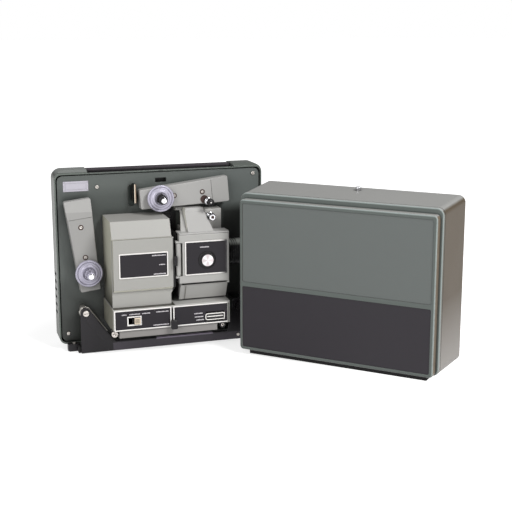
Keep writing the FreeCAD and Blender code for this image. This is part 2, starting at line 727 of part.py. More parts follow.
def border(area):
    """Frame of one plate."""
    x0, x1, z0, z1, face = area
    w = border_w
    outer = slab_xz(x0, x1, z0, z1, 1.4, face - border_t, face)
    inner = slab_xz(x0 + w, x1 - w, z0 + w, z1 - w, 0.8, face - border_t - 1, face + 1)
    return outer.cut(inner)


def front_borders():
    """White frames of the three plates on the housings and of the lamp switch."""
    frames = [border(area) for area in (lamp_plate, left_plate, right_plate)]
    x0, x1, z0, z1 = switch_window
    ring = slab_xz(x0 - 1.8, x1 + 1.8, z0 - 1.8, z1 + 1.8, 1.0, ctl_face_y - 1.6, ctl_face_y)
    frames.append(ring.cut(box(x0, x1, ctl_face_y - 3, ctl_face_y + 1, z0, z1)))
    return group(frames)


def front_fields():
    """Black fields inside the frames, cut where the controls stand in them."""
    fields = plates((lamp_plate, left_plate, right_plate), border_w, plate_t, 0)
    x0, x1, z0, z1 = switch_window
    fields[1] = fields[1].cut(box(x0 - 1.8, x1 + 1.8, ctl_face_y - 3, ctl_face_y + 1, z0 - 1.8, z1 + 1.8))
    wx0, wx1, wz0, wz1 = wheel_window
    fields[2] = fields[2].cut(box(wx0, wx1, ctl_face_y - 3, ctl_face_y + 1, wz0, wz1))
    return group(fields)


def door_plate():
    """Black field of the door's plate, with the hole for the focus shaft."""
    field = plates((focus_plate,), border_w, plate_t, 0)[0]
    return field.cut(rod("y", (focus_x, focus_z), knob_shaft_r + 0.5, door_face_y - 3, door_face_y + 1))


def door_border():
    return border(focus_plate)


def control_housing():
    """Low box below both houses with a lip under its front, screw ears and the thumbwheel's bearings."""
    t = house_t
    outer = box(ctl_x0, ctl_x1, ctl_face_y, 0, ctl_z0, ctl_z1)
    outer = soften(outer, 1.4, lambda e: at_y(e, ctl_face_y))
    room = box(ctl_x0 + t, ctl_x1 - t, ctl_face_y + t, 1, ctl_z0 + t, ctl_z1 - t)
    lip = box(lip_x0, lip_x1, ctl_face_y + 2, ctl_face_y + 5, lip_z0, ctl_z0 + 1)
    shelf = box(lip_x0, lip_x1, ctl_face_y + 2, ctl_face_y + 22, lip_z0, lip_z0 + 2.2)
    ear_r = ctl_screw_r - 0.3
    ears = [rod("y", (x, ctl_screw_z), ear_r, ctl_face_y + 5, ctl_face_y + 7) for x in ctl_screw_x]
    ears += [box(x - ear_r, x + ear_r, ctl_face_y + 5, ctl_face_y + 7, ctl_screw_z, ctl_z0 + t)
             for x in ctl_screw_x]
    x0, x1, z0, z1 = switch_window
    wx0, wx1 = wheel_window[:2]
    tools = [rod("y", (x, ctl_screw_z), ctl_screw_r + 0.7, ctl_face_y - 1, ctl_face_y + 5)
             for x in ctl_screw_x]
    for window in ((x0, x1, z0, z1),
                   (wx0, wx1, wheel_z - wheel_r + 0.6, wheel_z + wheel_r - 0.6),
                   (size_slot_x - 1.4, size_slot_x + 1.4, 47.5, 76.5)):
        tools.append(box(window[0], window[1], ctl_face_y - 1, ctl_face_y + t + 1, window[2], window[3]))
    body = cut_all(outer, [room] + tools).multiFuse([lip, shelf] + ears)
    bearings = []
    for x in (wx0 - 3.5, wx1 + 1.0):
        cheek = box(x, x + 2.5, ctl_face_y + t, wheel_y + 6, ctl_z0 + t, wheel_z + 6)
        bearings.append(cheek.cut(rod("x", (wheel_y, wheel_z), wheel_axle_r + run_fit, x - 1, x + 4)))
    return body.multiFuse(bearings).removeSplitter()


def control_screws():
    """Large cheese head screws in the two ears of the control housing."""
    heads = []
    front = ctl_face_y + 0.6
    for x in ctl_screw_x:
        head = rod("y", (x, ctl_screw_z), ctl_screw_r, front, ctl_face_y + 5)
        head = soften(head, 1.4, lambda e: at_y(e, front))
        slot = box(x - ctl_screw_r, x + ctl_screw_r, front - 1, front + 1.0,
                   ctl_screw_z - 0.6, ctl_screw_z + 0.6)
        heads.append(head.cut(slot))
    return group(heads)


def switch_slider():
    """Thumb piece of the lamp switch at the right end of its window."""
    x0, x1, z0, z1 = switch_window
    thumb = box(x1 - 8.8, x1 - slide_gap, ctl_face_y - 3.4, ctl_face_y + 1.5, z0 + slide_gap, z1 - slide_gap)
    grooves = [box(x1 - 7.6 + 2 * index, x1 - 6.8 + 2 * index, ctl_face_y - 4, ctl_face_y - 2.8, z0, z1)
               for index in range(4)]
    plate = box(x1 - 12, x1 + 2, ctl_face_y + house_t + slide_gap, ctl_face_y + 5, z0 - 2, z1 + 2)
    neck = box(x1 - 7, x1 - 2, ctl_face_y + 1, ctl_face_y + 4, z0 + 2, z1 - 2)
    return cut_all(thumb, grooves).multiFuse([neck, plate])


def size_lever():
    """Film size lever: flat knob on a stem through the slot between the two front plates."""
    x = size_slot_x
    stem = box(x - 1.0, x + 1.0, ctl_face_y - 6, ctl_face_y + 8, 49.0, 54.0)
    knob = slab_xz(x - 3.6, x + 6.6, 44.2, 59.0, 2.0, ctl_face_y - 11, ctl_face_y - 5)
    knob = soften(knob, 1.2, lambda e: at_y(e, ctl_face_y - 11))
    shoe = box(x - 6, x + 6, ctl_face_y + house_t + slide_gap, ctl_face_y + 6, 47.9, 56.0)
    return stem.multiFuse([knob, shoe])


def speed_wheel():
    """Ribbed thumbwheel for the projection speed, showing through its window."""
    wx0, wx1 = wheel_window[:2]
    wheel = rod("x", (wheel_y, wheel_z), wheel_r - 1.4, wx0 + 1.0, wx1 - 1.0)
    ribs = []
    for index in range(15):
        rib = box(wx0 + 1.0, wx1 - 1.0, wheel_y - 0.8, wheel_y + 0.8,
                  wheel_z + wheel_r - 2.4, wheel_z + wheel_r)
        rib.rotate(Vec(0, wheel_y, wheel_z), AXIS_X, 24 * index - 6)
        ribs.append(rib)
    axle = rod("x", (wheel_y, wheel_z), wheel_axle_r, wx0 - 3.5, wx1 + 3.5)
    return wheel.multiFuse(ribs + [axle])


def motion_lever():
    """Lever for forward, still and reverse: tab, flat stem, an eye round the light beam and a hub."""
    x0, x1 = lever_x
    hub = rod("x", (lever_pivot_y, beam_z), 5.0, x0, x0 + 5.0)
    eye = rod("x", (beam_y, beam_z), 16.5, x0, x1)
    stem = box(x0, x1, -81.0, beam_y - 14, beam_z - 3.0, beam_z + 3.0)
    tab = slab_xz(lever_x[1] - 4.4, x1, beam_z - 8, beam_z + 8, 1.2, -86.0, -80.2)
    tab = soften(tab, 0.8, lambda e: at_y(e, -86.0))
    neck = box(x0, x1, beam_y + 10, lever_pivot_y, beam_z - 4.0, beam_z + 4.0)
    beam_hole = rod("x", (beam_y, beam_z), 13.0, x0 - 1, x1 + 1)
    body = eye.multiFuse([stem, neck, tab]).cut(beam_hole).fuse(hub)
    return body.cut(rod("x", (lever_pivot_y, beam_z), lever_pin_r + run_fit, x0 - 1, x0 + 6))


def film_gate():
    """Aperture plate in the gap between the houses, with the motion lever's cross pin and its foot."""
    plate = box(gate_x, gate_x + 2, -56, -14, 112, 190)
    aperture = box(gate_x - 1, gate_x + 3, beam_y - 2.9, beam_y + 2.9, beam_z - 2.2, beam_z + 2.2)
    foot = box(gate_x, gate_x + 2, -14, 0, 120, 184)
    pin = rod("x", (lever_pivot_y, beam_z), lever_pin_r, lever_x[0] - 0.5, gate_x + 1)
    rails = [box(gate_x - 0.8, gate_x, y, y + 2, 114, 188) for y in (beam_y - 7, beam_y + 5)]
    return plate.multiFuse([foot, pin] + rails).cut(aperture)


def inlet_block():
    """Block beside the hood that leads the film into the gate; its left side follows the hood."""
    body = prism_xz([(hood_x1 + 0.5, hood_behind_z + 0.6), (93, hood_behind_z + 0.6), (93, 220.5),
                     (63.6, 220.5), (hood_x1 + 0.5, 194.5)], -26, 0)
    return soften(body, 1.6, lambda e: at_y(e, -26))


def film_roller(x, z):
    """Flanged film roller on its own axis along Y."""
    core = rod("y", (x, z), roller_flange_r - 1.8, roller_y1, roller_y0)
    flanges = [rod("y", (x, z), roller_flange_r, y, y + 2.4) for y in (roller_y0 - 2.4, roller_y1)]
    bore = rod("y", (x, z), roller_pin_r + run_fit, roller_y1 - 1, roller_y0 + 1)
    return core.multiFuse(flanges).cut(bore)


def pin_with_cap(x, z, start, end):
    """Steel pin for a roller, with a shoulder behind the roller and a dished cap in front of it."""
    stem = rod("y", (x, z), roller_pin_r, end, start)
    shoulder = rod("y", (x, z), 3.6, roller_y0 + slide_gap, start)
    cap = rod("y", (x, z), 4.6, end - 0.4, roller_y1 - slide_gap)
    dish = rod("y", (x, z), 2.2, end - 1, end + 0.6)
    return stem.multiFuse([shoulder, cap]).cut(dish)


def arm_outline(inset, u_end):
    """Half widths along the arm, from the narrow tip to the wide root."""
    slope = (arm_root_w - arm_tip_w) / 2 / arm_len
    start = inset
    end = u_end
    w0 = arm_tip_w / 2 + slope * start - inset
    w1 = arm_tip_w / 2 + slope * end - inset
    return [(start, -w0), (end, -w1), (end, w1), (start, w0)]


def arm_place(shape, tip, angle):
    shape = shape.copy()
    shape.rotate(Vec(0, 0, 0), AXIS_Y, -angle)
    shape.translate(Vec(tip[0], 0, tip[1]))
    return shape


def arm_point(tip, angle, u):
    turn = math.radians(angle)
    return tip[0] + u * math.cos(turn), tip[1] + u * math.sin(turn)


def reel_arm(tip, angle):
    """Hollow tapered arm, open at its back, with a sloping root and bosses for pivot and spindle."""
    body = prism_xz(arm_outline(0, arm_len), arm_front, arm_back)
    body = soften(body, 2.4, lambda e: edge_span(e)[1] > 10)
    body = soften(body, 1.4, lambda e: at_y(e, arm_front))
    crease = arm_len - arm_root
    slope = prism_xy([(crease, arm_front - 1), (crease, arm_front), (arm_len + 1, arm_front + arm_root_drop),
                      (arm_len + 1, arm_front - 1)], -arm_root_w, arm_root_w)
    body = body.cut(slope)
    root_front = arm_front + arm_root_drop + arm_wall
    room = prism_xz(arm_outline(arm_wall, crease - 1), arm_front + arm_wall, arm_back + 1)
    root_room = prism_xz(arm_outline(arm_wall, arm_len - arm_wall), root_front, arm_back + 1)
    body = body.cut(room).cut(root_room)
    bosses = [rod("y", (arm_pivot_u, 0), arm_boss_r, root_front - 1, arm_back),
              rod("y", (arm_spindle_u, 0), 6.5, arm_front + 2, arm_back - 5)]
    body = body.multiFuse(bosses)
    body = body.cut(rod("y", (arm_pivot_u, 0), arm_pin_r + run_fit, arm_front + 4.5, arm_back + 1))
    body = body.cut(rod("y", (arm_spindle_u, 0), spindle_r + run_fit, arm_front - 1, arm_back + 1))
    return arm_place(body, tip, angle)


def spindle(tip, angle):
    """Reel spindle: stepped disc, keyed seat, core for the reel's bore, shaft through the arm, pulley."""
    x, z = arm_point(tip, angle, arm_spindle_u)
    disc = rod("y", (x, z), disc_r, disc_y, disc_y + 2.6)
    disc = disc.fuse(rod("y", (x, z), disc_r - 4.5, disc_y - 1.0, disc_y))
    disc = disc.fuse(rod("y", (x, z), 11.0, disc_y - 2.2, disc_y - 1.0))
    neck = rod("y", (x, z), 8.0, disc_y + 2.6, arm_front - slide_gap)
    core = rod("y", (x, z), spindle_core_r, spindle_tip_y + 3.0, spindle_key_y - 1.0)
    groove = rod("y", (x, z), spindle_core_r - 0.8, spindle_key_y - 1.0, spindle_key_y)
    seat = rod("y", (x, z), spindle_core_r + 0.8, spindle_key_y, disc_y - 2.0)
    keys = []
    for index in range(3):
        key = box(x - 1.0, x + 1.0, spindle_key_y, disc_y - 2, z + 5.0, z + 8.6)
        key.rotate(Vec(x, 0, z), AXIS_Y, 120 * index)
        keys.append(key)
    cap = rod("y", (x, z), 5.2, spindle_tip_y, spindle_tip_y + 3.0)
    cap = soften(cap, 1.2, lambda e: at_y(e, spindle_tip_y))
    shaft = rod("y", (x, z), spindle_r, arm_front - 1, arm_back - 1.0)
    pulley = rod("y", (x, z), arm_pulley_r, arm_back - 5 + slide_gap, arm_back - 1.0)
    return disc.multiFuse([neck, seat, groove, core, cap, shaft, pulley] + keys)


def panel_pins():
    """Bright pins fixed to the panel: one for each arm, one for the inlet roller, one over the spring."""
    pins = []
    for tip, angle in ((feed_tip, feed_angle), (takeup_tip, takeup_angle)):
        x, z = arm_point(tip, angle, arm_pivot_u)
        pin = rod("y", (x, z), arm_pin_r, arm_front + 5, 0)
        collar = rod("y", (x, z), 9.0, arm_back + slide_gap, 0)
        pins.append(pin.fuse(collar))
    x, z = inlet_roller
    pins.append(pin_with_cap(x, z, inlet_y0, roller_y1 - 2.0))
    last_y = spring_y + spring_pitch * (spring_end - spring_start) / (2 * math.pi)
    spring_pin_z = pivot_z - spring_r + spring_wire_r + 2.0 + slide_gap
    pins.append(rod("y", (spring_pin_x, spring_pin_z), 2.0, last_y - 2.0, 0))
    return group(pins)


def feed_roller_at():
    x, z = arm_point(feed_tip, feed_angle, feed_roller_u)
    return x, z - feed_roller_drop


def feed_roller_pin():
    x, z = feed_roller_at()
    return pin_with_cap(x, z, arm_front, roller_y1 - 2.0)


def lens_mount():
    """Sleeve that carries the lens inside the lens house, on a foot from the panel."""
    tube = rod("x", (beam_y, beam_z), mount_r, 66.0, mount_x1)
    tube = tube.cut(rod("x", (beam_y, beam_z), lens_r + run_fit, 65, mount_x1 + 1))
    foot = box(68, 84, beam_y + 15, 0, beam_z - 8, beam_z + 8)
    return tube.fuse(foot.cut(rod("x", (beam_y, beam_z), lens_r + 1, 60, 95)))


def lens_barrel():
    """Stepped lens barrel with a ribbed front ring and the side rail that the focus wheel drives."""
    body = rod("x", (beam_y, beam_z), lens_r, lens_rear, lens_ring_x)
    ring = rod("x", (beam_y, beam_z), lens_ring_r, lens_ring_x, lens_ring_x + 22)
    ring = soften(ring, 1.0, lambda e: edge_span(e)[0] < 0.01 and e.BoundBox.XMin > lens_ring_x + 10)
    nose = rod("x", (beam_y, beam_z), lens_ring_r - 2, lens_ring_x + 22, lens_front)
    grooves = [rod("x", (beam_y, beam_z), lens_ring_r + 1, x, x + 1.4).cut(
        rod("x", (beam_y, beam_z), lens_ring_r - 0.9, x, x + 1.4)) for x in (101.5, 105.0, 108.5)]
    bore = rod("x", (beam_y, beam_z), 13.5, lens_rear - 1, lens_front + 1)
    mouth = rod("x", (beam_y, beam_z), 16.4, 115.0, lens_front + 1)
    rail = box(38, 64, rail_y - 3, rail_y, rail_z, rail_z + 4)
    bracket = box(38, 44, rail_y - 1, beam_y - 5, rail_z, rail_z + 4)
    bracket = bracket.cut(rod("x", (beam_y, beam_z), lens_r - 1, 30, 70))
    return cut_all(body.multiFuse([ring, nose, rail, bracket]), grooves + [bore, mouth])


def lens_glass():
    """Front and rear elements."""
    def element(x, radius, thick, bow):
        disc = rod("x", (beam_y, beam_z), radius, x, x + thick)
        ball_r = (radius * radius + bow * bow) / (2 * bow)
        dome = Part.makeSphere(ball_r, Vec(x + thick + bow - ball_r, beam_y, beam_z))
        dome = dome.common(rod("x", (beam_y, beam_z), radius, x + thick, x + thick + bow + 0.1))
        return disc.fuse(dome)
    return group([element(116.2, 16.3, 1.6, 3.0), element(36.0, 13.4, 2.0, 1.2)])


def focus_knob():
    """Low black knob with a fluted rim and a wide skirt, on a shaft through the door."""
    x = focus_x
    z = focus_z
    skirt = Part.makeCone(14.2, 12.6, 1.6, Vec(x, door_face_y - 1.2, z), Vec(0, -1, 0))
    body = rod("y", (x, z), knob_r, knob_face_y, door_face_y - 2.6)
    flutes = []
    for index in range(16):
        turn = math.radians(22.5 * index)
        flutes.append(rod("y", (x + (knob_r + 0.6) * math.cos(turn), z + (knob_r + 0.6) * math.sin(turn)), 1.1,
                          knob_face_y - 1, door_face_y - 3.0))
    shaft = rod("y", (x, z), knob_shaft_r, door_face_y - 2, rail_y)
    return cut_all(skirt.fuse(body), flutes).fuse(shaft)


def focus_cap():
    """Turned metal disc on the knob's face."""
    disc = rod("y", (focus_x, focus_z), knob_cap_r, knob_face_y - knob_cap_t, knob_face_y)
    return soften(disc, 0.4, lambda e: at_y(e, knob_face_y - knob_cap_t))


def focus_wheel():
    """Rubber tyred wheel on the knob's shaft that rolls along the lens rail."""
    tyre = rod("y", (focus_x, focus_z), focus_wheel_r, rail_y - 3.2, rail_y - 0.2)
    return tyre.cut(rod("y", (focus_x, focus_z), knob_shaft_r, rail_y - 5, rail_y + 2))


def motor():
    """Motor behind the panel with its end bells and mounting feet."""
    centre = (motor_y, motor_z)
    can = rod("x", centre, motor_r, -62, 0)
    bells = [rod("x", centre, motor_r - 3.5, -66, -62), rod("x", centre, motor_r - 3.5, 0, 4)]
    feet = [box(x, x + 6, panel_t, motor_y, motor_z - 14, motor_z + 14) for x in (-56, -12)]
    body = can.multiFuse(bells + feet)
    return body.cut(rod("x", centre, drive_shaft_r + run_fit, -70, 10))


def grooved_pulley(centre, radius):
    """Pulley with a flat groove for the drive belt."""
    groove = rod("x", centre, radius + 1, *groove_x)
    groove = groove.cut(rod("x", centre, radius - groove_depth, *pulley_x))
    return rod("x", centre, radius, *pulley_x).cut(groove)


def motor_shaft():
    """Rotor shaft with the belt pulley at one end and the fan at the other."""
    centre = (motor_y, motor_z)
    fan_r = motor_r - 1
    shaft = rod("x", centre, drive_shaft_r, -84, 36)
    hub = rod("x", centre, 6.0, 12, 30)
    blades = []
    for index in range(8):
        blade = box(12, 30, motor_y - 0.8, motor_y + 0.8, motor_z + 5, motor_z + fan_r)
        blade.rotate(Vec(0, motor_y, motor_z), AXIS_X, 45 * index)
        blades.append(blade)
    plate = rod("x", centre, fan_r, 12, 13.2)
    return shaft.multiFuse([grooved_pulley(centre, motor_pulley_r), hub, plate] + blades)


def main_shaft():
    """Main shaft with pulley and three bladed shutter in front of the gate."""
    centre = (main_y, main_z)
    shaft = rod("x", centre, drive_shaft_r, -86, -5)
    disc = rod("x", centre, 27.0, -8.0, -6.8)
    for index in range(3):
        window = box(-9, -6, main_y - 5.5, main_y + 5.5, main_z + 12, main_z + 30)
        window.rotate(Vec(0, main_y, main_z), AXIS_X, 120 * index)
        disc = disc.cut(window)
    return shaft.multiFuse([grooved_pulley(centre, main_pulley_r), disc])


def drive_belt():
    """Flat belt from the motor pulley through the panel to the main shaft."""
    dist = math.hypot(main_y - motor_y, main_z - motor_z)
    base = math.atan2(main_z - motor_z, main_y - motor_y)
    lean = math.acos((motor_pulley_r - main_pulley_r) / dist)

    def loop(inset, x0, x1):
        ends = ((motor_y, motor_z, motor_pulley_r - inset), (main_y, main_z, main_pulley_r - inset))
        corners = [[(y + r * math.cos(turn), z + r * math.sin(turn)) for y, z, r in ends]
                   for turn in (base + lean, base - lean)]
        band = prism_yz(corners[0] + corners[1][::-1], x0, x1)
        return band.multiFuse([rod("x", (y, z), r, x0, x1) for y, z, r in ends])

    return loop(0, belt_x0, belt_x1).cut(loop(belt_t, belt_x0 - 1, belt_x1 + 1))


def main_bearings():
    """Two plates on the panel that carry the main shaft."""
    stands = []
    for x in (-68.0, -16.0):
        stand = box(x, x + 4, main_y - 7, 0, main_z - 8, main_z + 7)
        stands.append(stand.cut(rod("x", (main_y, main_z), drive_shaft_r + run_fit, x - 1, x + 5)))
    return group(stands)


def lamp():
    """Reflector lamp: bowl, neck and burner on the light path."""
    bowl = Part.makeCone(20.0, 7.0, 20.0, Vec(-32, beam_y, beam_z), Vec(-1, 0, 0))
    bowl = bowl.cut(Part.makeCone(18.6, 5.6, 18.6, Vec(-31.9, beam_y, beam_z), Vec(-1, 0, 0)))
    neck = rod("x", (beam_y, beam_z), 7.0, -58, -51)
    burner = rod("x", (beam_y, beam_z), 3.6, -52, -38)
    return bowl.multiFuse([neck, burner])


def lamp_socket():
    block = box(-66, -58, beam_y - 10, beam_y + 10, beam_z - 9, beam_z + 9)
    bracket = box(-66, -63, beam_y + 10, 0, beam_z - 6, beam_z + 6)
    return block.fuse(bracket)


def transformer():
    """Laminated core with its winding, behind the panel."""
    core = box(60, 118, panel_t, 36, 110, 158)
    core = core.cut(box(70, 108, -1, 40, 120, 128)).cut(box(70, 108, -1, 40, 140, 148))
    coil = box(71, 107, panel_t + 1, 38, 121, 147)
    return core.fuse(coil)


def mains_inlet():
    """Recessed two pin inlet in the back of the shell."""
    x0, x1, z0, z1 = -139.6, -104.4, 40.4, 65.6
    y1 = shell_depth - 1.0
    body = slab_xz(x0, x1, z0, z1, 3.6, y1 - 12, y1)
    body = body.cut(slab_xz(x0 + 2.5, x1 - 2.5, z0 + 2.5, z1 - 2.5, 2.0, y1 - 10, y1 + 1))
    pins = [rod("y", (-122 + side * 6, 53), 1.8, y1 - 11, y1 - 1) for side in (-1, 1)]
    return body.multiFuse(pins)


def takeup_belt():
    """Flat belt inside the take-up arm from the pivot pulley to the spindle pulley."""
    inner_r = arm_pulley_r + 0.1
    outer_r = inner_r + 0.9
    y0 = arm_back - 3.8
    y1 = arm_back - 2.0

    def loop(radius, front, back):
        span = box(arm_spindle_u, arm_pivot_u, front, back, -radius, radius)
        return span.multiFuse([rod("y", (u, 0), radius, front, back) for u in (arm_spindle_u, arm_pivot_u)])

    return arm_place(loop(outer_r, y0, y1).cut(loop(inner_r, y0 - 1, y1 + 1)), takeup_tip, takeup_angle)


def takeup_pulley():
    """Pulley that runs on the take-up arm's pivot boss and drives the belt."""
    ring = rod("y", (arm_pivot_u, 0), arm_pulley_r, arm_back - 4.7, arm_back - 1.0)
    ring = ring.cut(rod("y", (arm_pivot_u, 0), arm_boss_r + run_fit, arm_back - 6, arm_back))
    return arm_place(ring, takeup_tip, takeup_angle)


def cover_place(shape):
    shape = shape.copy()
    shape.rotate(Vec(0, 0, 0), AXIS_Z, cover_turn)
    shape.translate(Vec(cover_at[0], cover_at[1], 0))
    return shape


def cover_section(y, inset):
    """Rounded rectangle of the tapering cover at one depth."""
    share = (y - cover_main_y) / (cover_d - cover_main_y)
    half = cover_front_half + share * (cover_rim_half - cover_front_half) - inset
    low = cover_front_z[0] + share * (cover_rim_z[0] - cover_front_z[0]) + inset
    high = cover_front_z[1] + share * (cover_rim_z[1] - cover_front_z[1]) - inset
    return wire_xz(-half, half, low, high, shell_r - inset, y)


def cover_draft(inset, end):
    """Tapering main body of the cover, drawn in by a wall."""
    return Part.makeLoft([cover_section(cover_main_y, inset), cover_section(end, inset)], True, True)


def cover_shell():
    """Deep drafted cover: front frame, rounded ridge, groove, tapering walls and a notch in the lower rim."""
    main = cover_draft(0, cover_d)
    neck = slab_xz(-cover_front_half + 1.6, cover_front_half - 1.6, cover_front_z[0] + 1.4,
                   cover_front_z[1] - 1.6, shell_r - 1.6, cover_groove_y - 0.5, cover_main_y + 0.5)
    ridge = slab_xz(-cover_front_half, cover_front_half, cover_front_z[0], cover_front_z[1], shell_r,
                    cover_ridge_y, cover_groove_y)
    ridge = soften(ridge, 2.6, lambda e: at_y(e, cover_ridge_y))
    frame = slab_xz(-cover_frame_half, cover_frame_half, cover_frame_z[0], cover_frame_z[1], 6.0,
                    0, cover_ridge_y + 0.5)
    frame = soften(frame, 2.4, lambda e: at_y(e, 0))
    body = main.multiFuse([neck, ridge, frame])
    deep = cover_draft(cover_wall, cover_d + 0.5)
    t = cover_wall + 1.6
    mid = slab_xz(-cover_front_half + t, cover_front_half - t, cover_front_z[0] + t,
                  cover_front_z[1] - t, 6.0, cover_ridge_y + 1.2, cover_main_y + 0.5)
    t = cover_frame_wall
    shallow = slab_xz(-cover_frame_half + t, cover_frame_half - t, cover_frame_z[0] + t,
                      cover_frame_z[1] - t, 4.0, cover_recess + 2.2, cover_ridge_y + 2)
    body = body.cut(deep).cut(mid).cut(shallow)
    x0, x1 = cover_panel_x
    windows = [slab_xz(x0, x1, cover_panel_z[0], cover_rib_z[0], 2.5, -1, cover_recess),
               slab_xz(x0, x1, cover_rib_z[1], cover_panel_z[1], 2.5, -1, cover_recess)]
    notch = box(-base_half - 6, base_half + 6, cover_d - base_d - 6, cover_d + 1, 0, 12)
    hole = rod("z", (latch_x, latch_y), 4.0 + slide_gap, 240, 270)
    return cover_place(cut_all(body, windows + [notch, hole]))


def cover_panel(z0, z1):
    x0, x1 = cover_panel_x
    sheet = slab_xz(x0 + 0.2, x1 - 0.2, z0 + 0.2, z1 - 0.2, 2.3, cover_recess - 1.0, cover_recess)
    return cover_place(sheet)


def cover_runner():
    """Black runner under the cover, an open frame that stands on the floor."""
    outer = box(-145, 145, 11, 62, 0, cover_front_z[0] + 0.2)
    outer = outer.cut(box(-141, 141, 15, 58, -1, cover_front_z[0] + 3))
    main = cover_draft(0, cover_d)
    ridge = slab_xz(-cover_front_half, cover_front_half, cover_front_z[0], cover_front_z[1], shell_r,
                    5, cover_main_y)
    outer = outer.cut(main).cut(ridge)
    return cover_place(outer)


def latch_button():
    """Push button on top of the cover with its stem and the hook that catches the case."""
    share = (latch_y - cover_main_y) / (cover_d - cover_main_y)
    top = cover_front_z[1] + share * (cover_rim_z[1] - cover_front_z[1])
    button = rod("z", (latch_x, latch_y), 4.6, top + 2.8, top + 5.6)
    button = soften(button, 1.2, lambda e: e.BoundBox.ZMin > top + 5.5)
    stem = rod("z", (latch_x, latch_y), 4.0, top - 9, top + 3)
    arm = box(latch_x - 5, latch_x + 5, latch_y - 3, cover_d + 5, top - 9, top - 6.5)
    hook = box(latch_x - 5, latch_x + 5, cover_d + 3, cover_d + 5, top - 9, top - 4.5)
    return cover_place(button.multiFuse([stem, arm, hook]))


def nodes():
    """Every sub-part under its node name."""
    return {
        "base_tray": base_tray,
        "rubber_feet": rubber_feet,
        "base_screws": base_screws,
        "pivot_bush": pivot_bush,
        "balance_spring": balance_spring,
        "tilt_knob": tilt_knob,
        "tilt_quadrant": tilt_quadrant,
        "pivot_shaft": pivot_shaft,
        "rear_shell": rear_shell,
        "carry_handle": carry_handle,
        "mechanism_panel": mechanism_panel,
        "panel_screws": panel_screws,
        "label_plate": label_plate,
        "arm_clip": arm_clip,
        "lamp_house": lamp_house,
        "lens_house": lens_house,
        "gate_door": gate_door,
        "catch_bar": catch_bar,
        "door_plate": door_plate,
        "door_border": door_border,
        "control_housing": control_housing,
        "control_screws": control_screws,
        "front_borders": front_borders,
        "front_fields": front_fields,
        "switch_slider": switch_slider,
        "size_lever": size_lever,
        "speed_wheel": speed_wheel,
        "motion_lever": motion_lever,
        "film_gate": film_gate,
        "inlet_block": inlet_block,
        "inlet_roller": lambda: film_roller(*inlet_roller),
        "panel_pins": panel_pins,
        "feed_arm": lambda: reel_arm(feed_tip, feed_angle),
        "feed_spindle": lambda: spindle(feed_tip, feed_angle),
        "feed_roller": lambda: film_roller(*feed_roller_at()),
        "feed_roller_pin": feed_roller_pin,
        "takeup_arm": lambda: reel_arm(takeup_tip, takeup_angle),
        "takeup_spindle": lambda: spindle(takeup_tip, takeup_angle),
        "takeup_belt": takeup_belt,
        "takeup_pulley": takeup_pulley,
        "lens_mount": lens_mount,
        "lens_barrel": lens_barrel,
        "lens_glass": lens_glass,
        "focus_knob": focus_knob,
        "focus_cap": focus_cap,
        "focus_wheel": focus_wheel,
        "motor": motor,
        "motor_shaft": motor_shaft,
        "main_shaft": main_shaft,
        "drive_belt": drive_belt,
        "main_bearings": main_bearings,
        "lamp": lamp,
        "lamp_socket": lamp_socket,
        "transformer": transformer,
        "mains_inlet": mains_inlet,
        "cover_shell": cover_shell,
        "cover_upper_panel": lambda: cover_panel(cover_rib_z[1], cover_panel_z[1]),
        "cover_lower_panel": lambda: cover_panel(cover_panel_z[0], cover_rib_z[0]),
        "cover_runner": cover_runner,
        "latch_button": latch_button,
    }


def main():
    os.makedirs("parts", exist_ok=True)
    for name, make in nodes().items():
        shape = make()
        shape.exportStep("parts/" + name + ".step")
        bound = shape.BoundBox
        spans = (bound.XMin, bound.XMax, bound.YMin, bound.YMax, bound.ZMin, bound.ZMax)
        print(f"{name:18s} solids {len(shape.Solids):2d} valid {shape.isValid()} "
              f"vol {shape.Volume / 1000:8.2f} cm3 box", " ".join(f"{value:7.1f}" for value in spans))


main()
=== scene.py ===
import bpy
import math
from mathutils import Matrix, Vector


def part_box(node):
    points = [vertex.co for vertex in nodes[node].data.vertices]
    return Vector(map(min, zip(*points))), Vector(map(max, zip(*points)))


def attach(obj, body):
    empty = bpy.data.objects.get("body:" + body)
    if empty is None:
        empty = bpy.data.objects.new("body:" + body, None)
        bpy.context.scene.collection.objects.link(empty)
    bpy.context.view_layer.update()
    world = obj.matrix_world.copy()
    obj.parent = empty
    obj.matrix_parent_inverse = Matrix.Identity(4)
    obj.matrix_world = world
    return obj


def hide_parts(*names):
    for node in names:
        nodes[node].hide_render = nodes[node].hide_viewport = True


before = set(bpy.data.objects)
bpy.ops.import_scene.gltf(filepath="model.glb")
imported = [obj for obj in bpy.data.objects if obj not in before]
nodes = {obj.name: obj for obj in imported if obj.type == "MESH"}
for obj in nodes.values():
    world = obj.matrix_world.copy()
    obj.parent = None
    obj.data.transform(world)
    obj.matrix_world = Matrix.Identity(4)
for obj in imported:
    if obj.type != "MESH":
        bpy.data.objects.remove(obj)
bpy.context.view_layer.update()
mm = 0.001  # pieces and patches are given in millimetres of the CAD frame, the studio in metres
print("stage: frame loaded,", len(nodes), "nodes")


# Finishes

def tone(colour):
    # screen colour, 0 to 255, to the linear colour that a shader reads
    parts = []
    for value in colour:
        share = value / 255
        parts.append(share / 12.92 if share <= 0.04045 else ((share + 0.055) / 1.055) ** 2.4)
    return (*parts, 1)


def newGroup(name, inputs, outputs):
    group = bpy.data.node_groups.new(name, "ShaderNodeTree")
    for label, kind, value in inputs:
        socket = group.interface.new_socket(label, in_out="INPUT", socket_type="NodeSocket" + kind)
        socket.default_value = value
    for label, kind in outputs:
        group.interface.new_socket(label, in_out="OUTPUT", socket_type="NodeSocket" + kind)
    return group, group.nodes.new("NodeGroupInput").outputs, group.nodes.new("NodeGroupOutput")


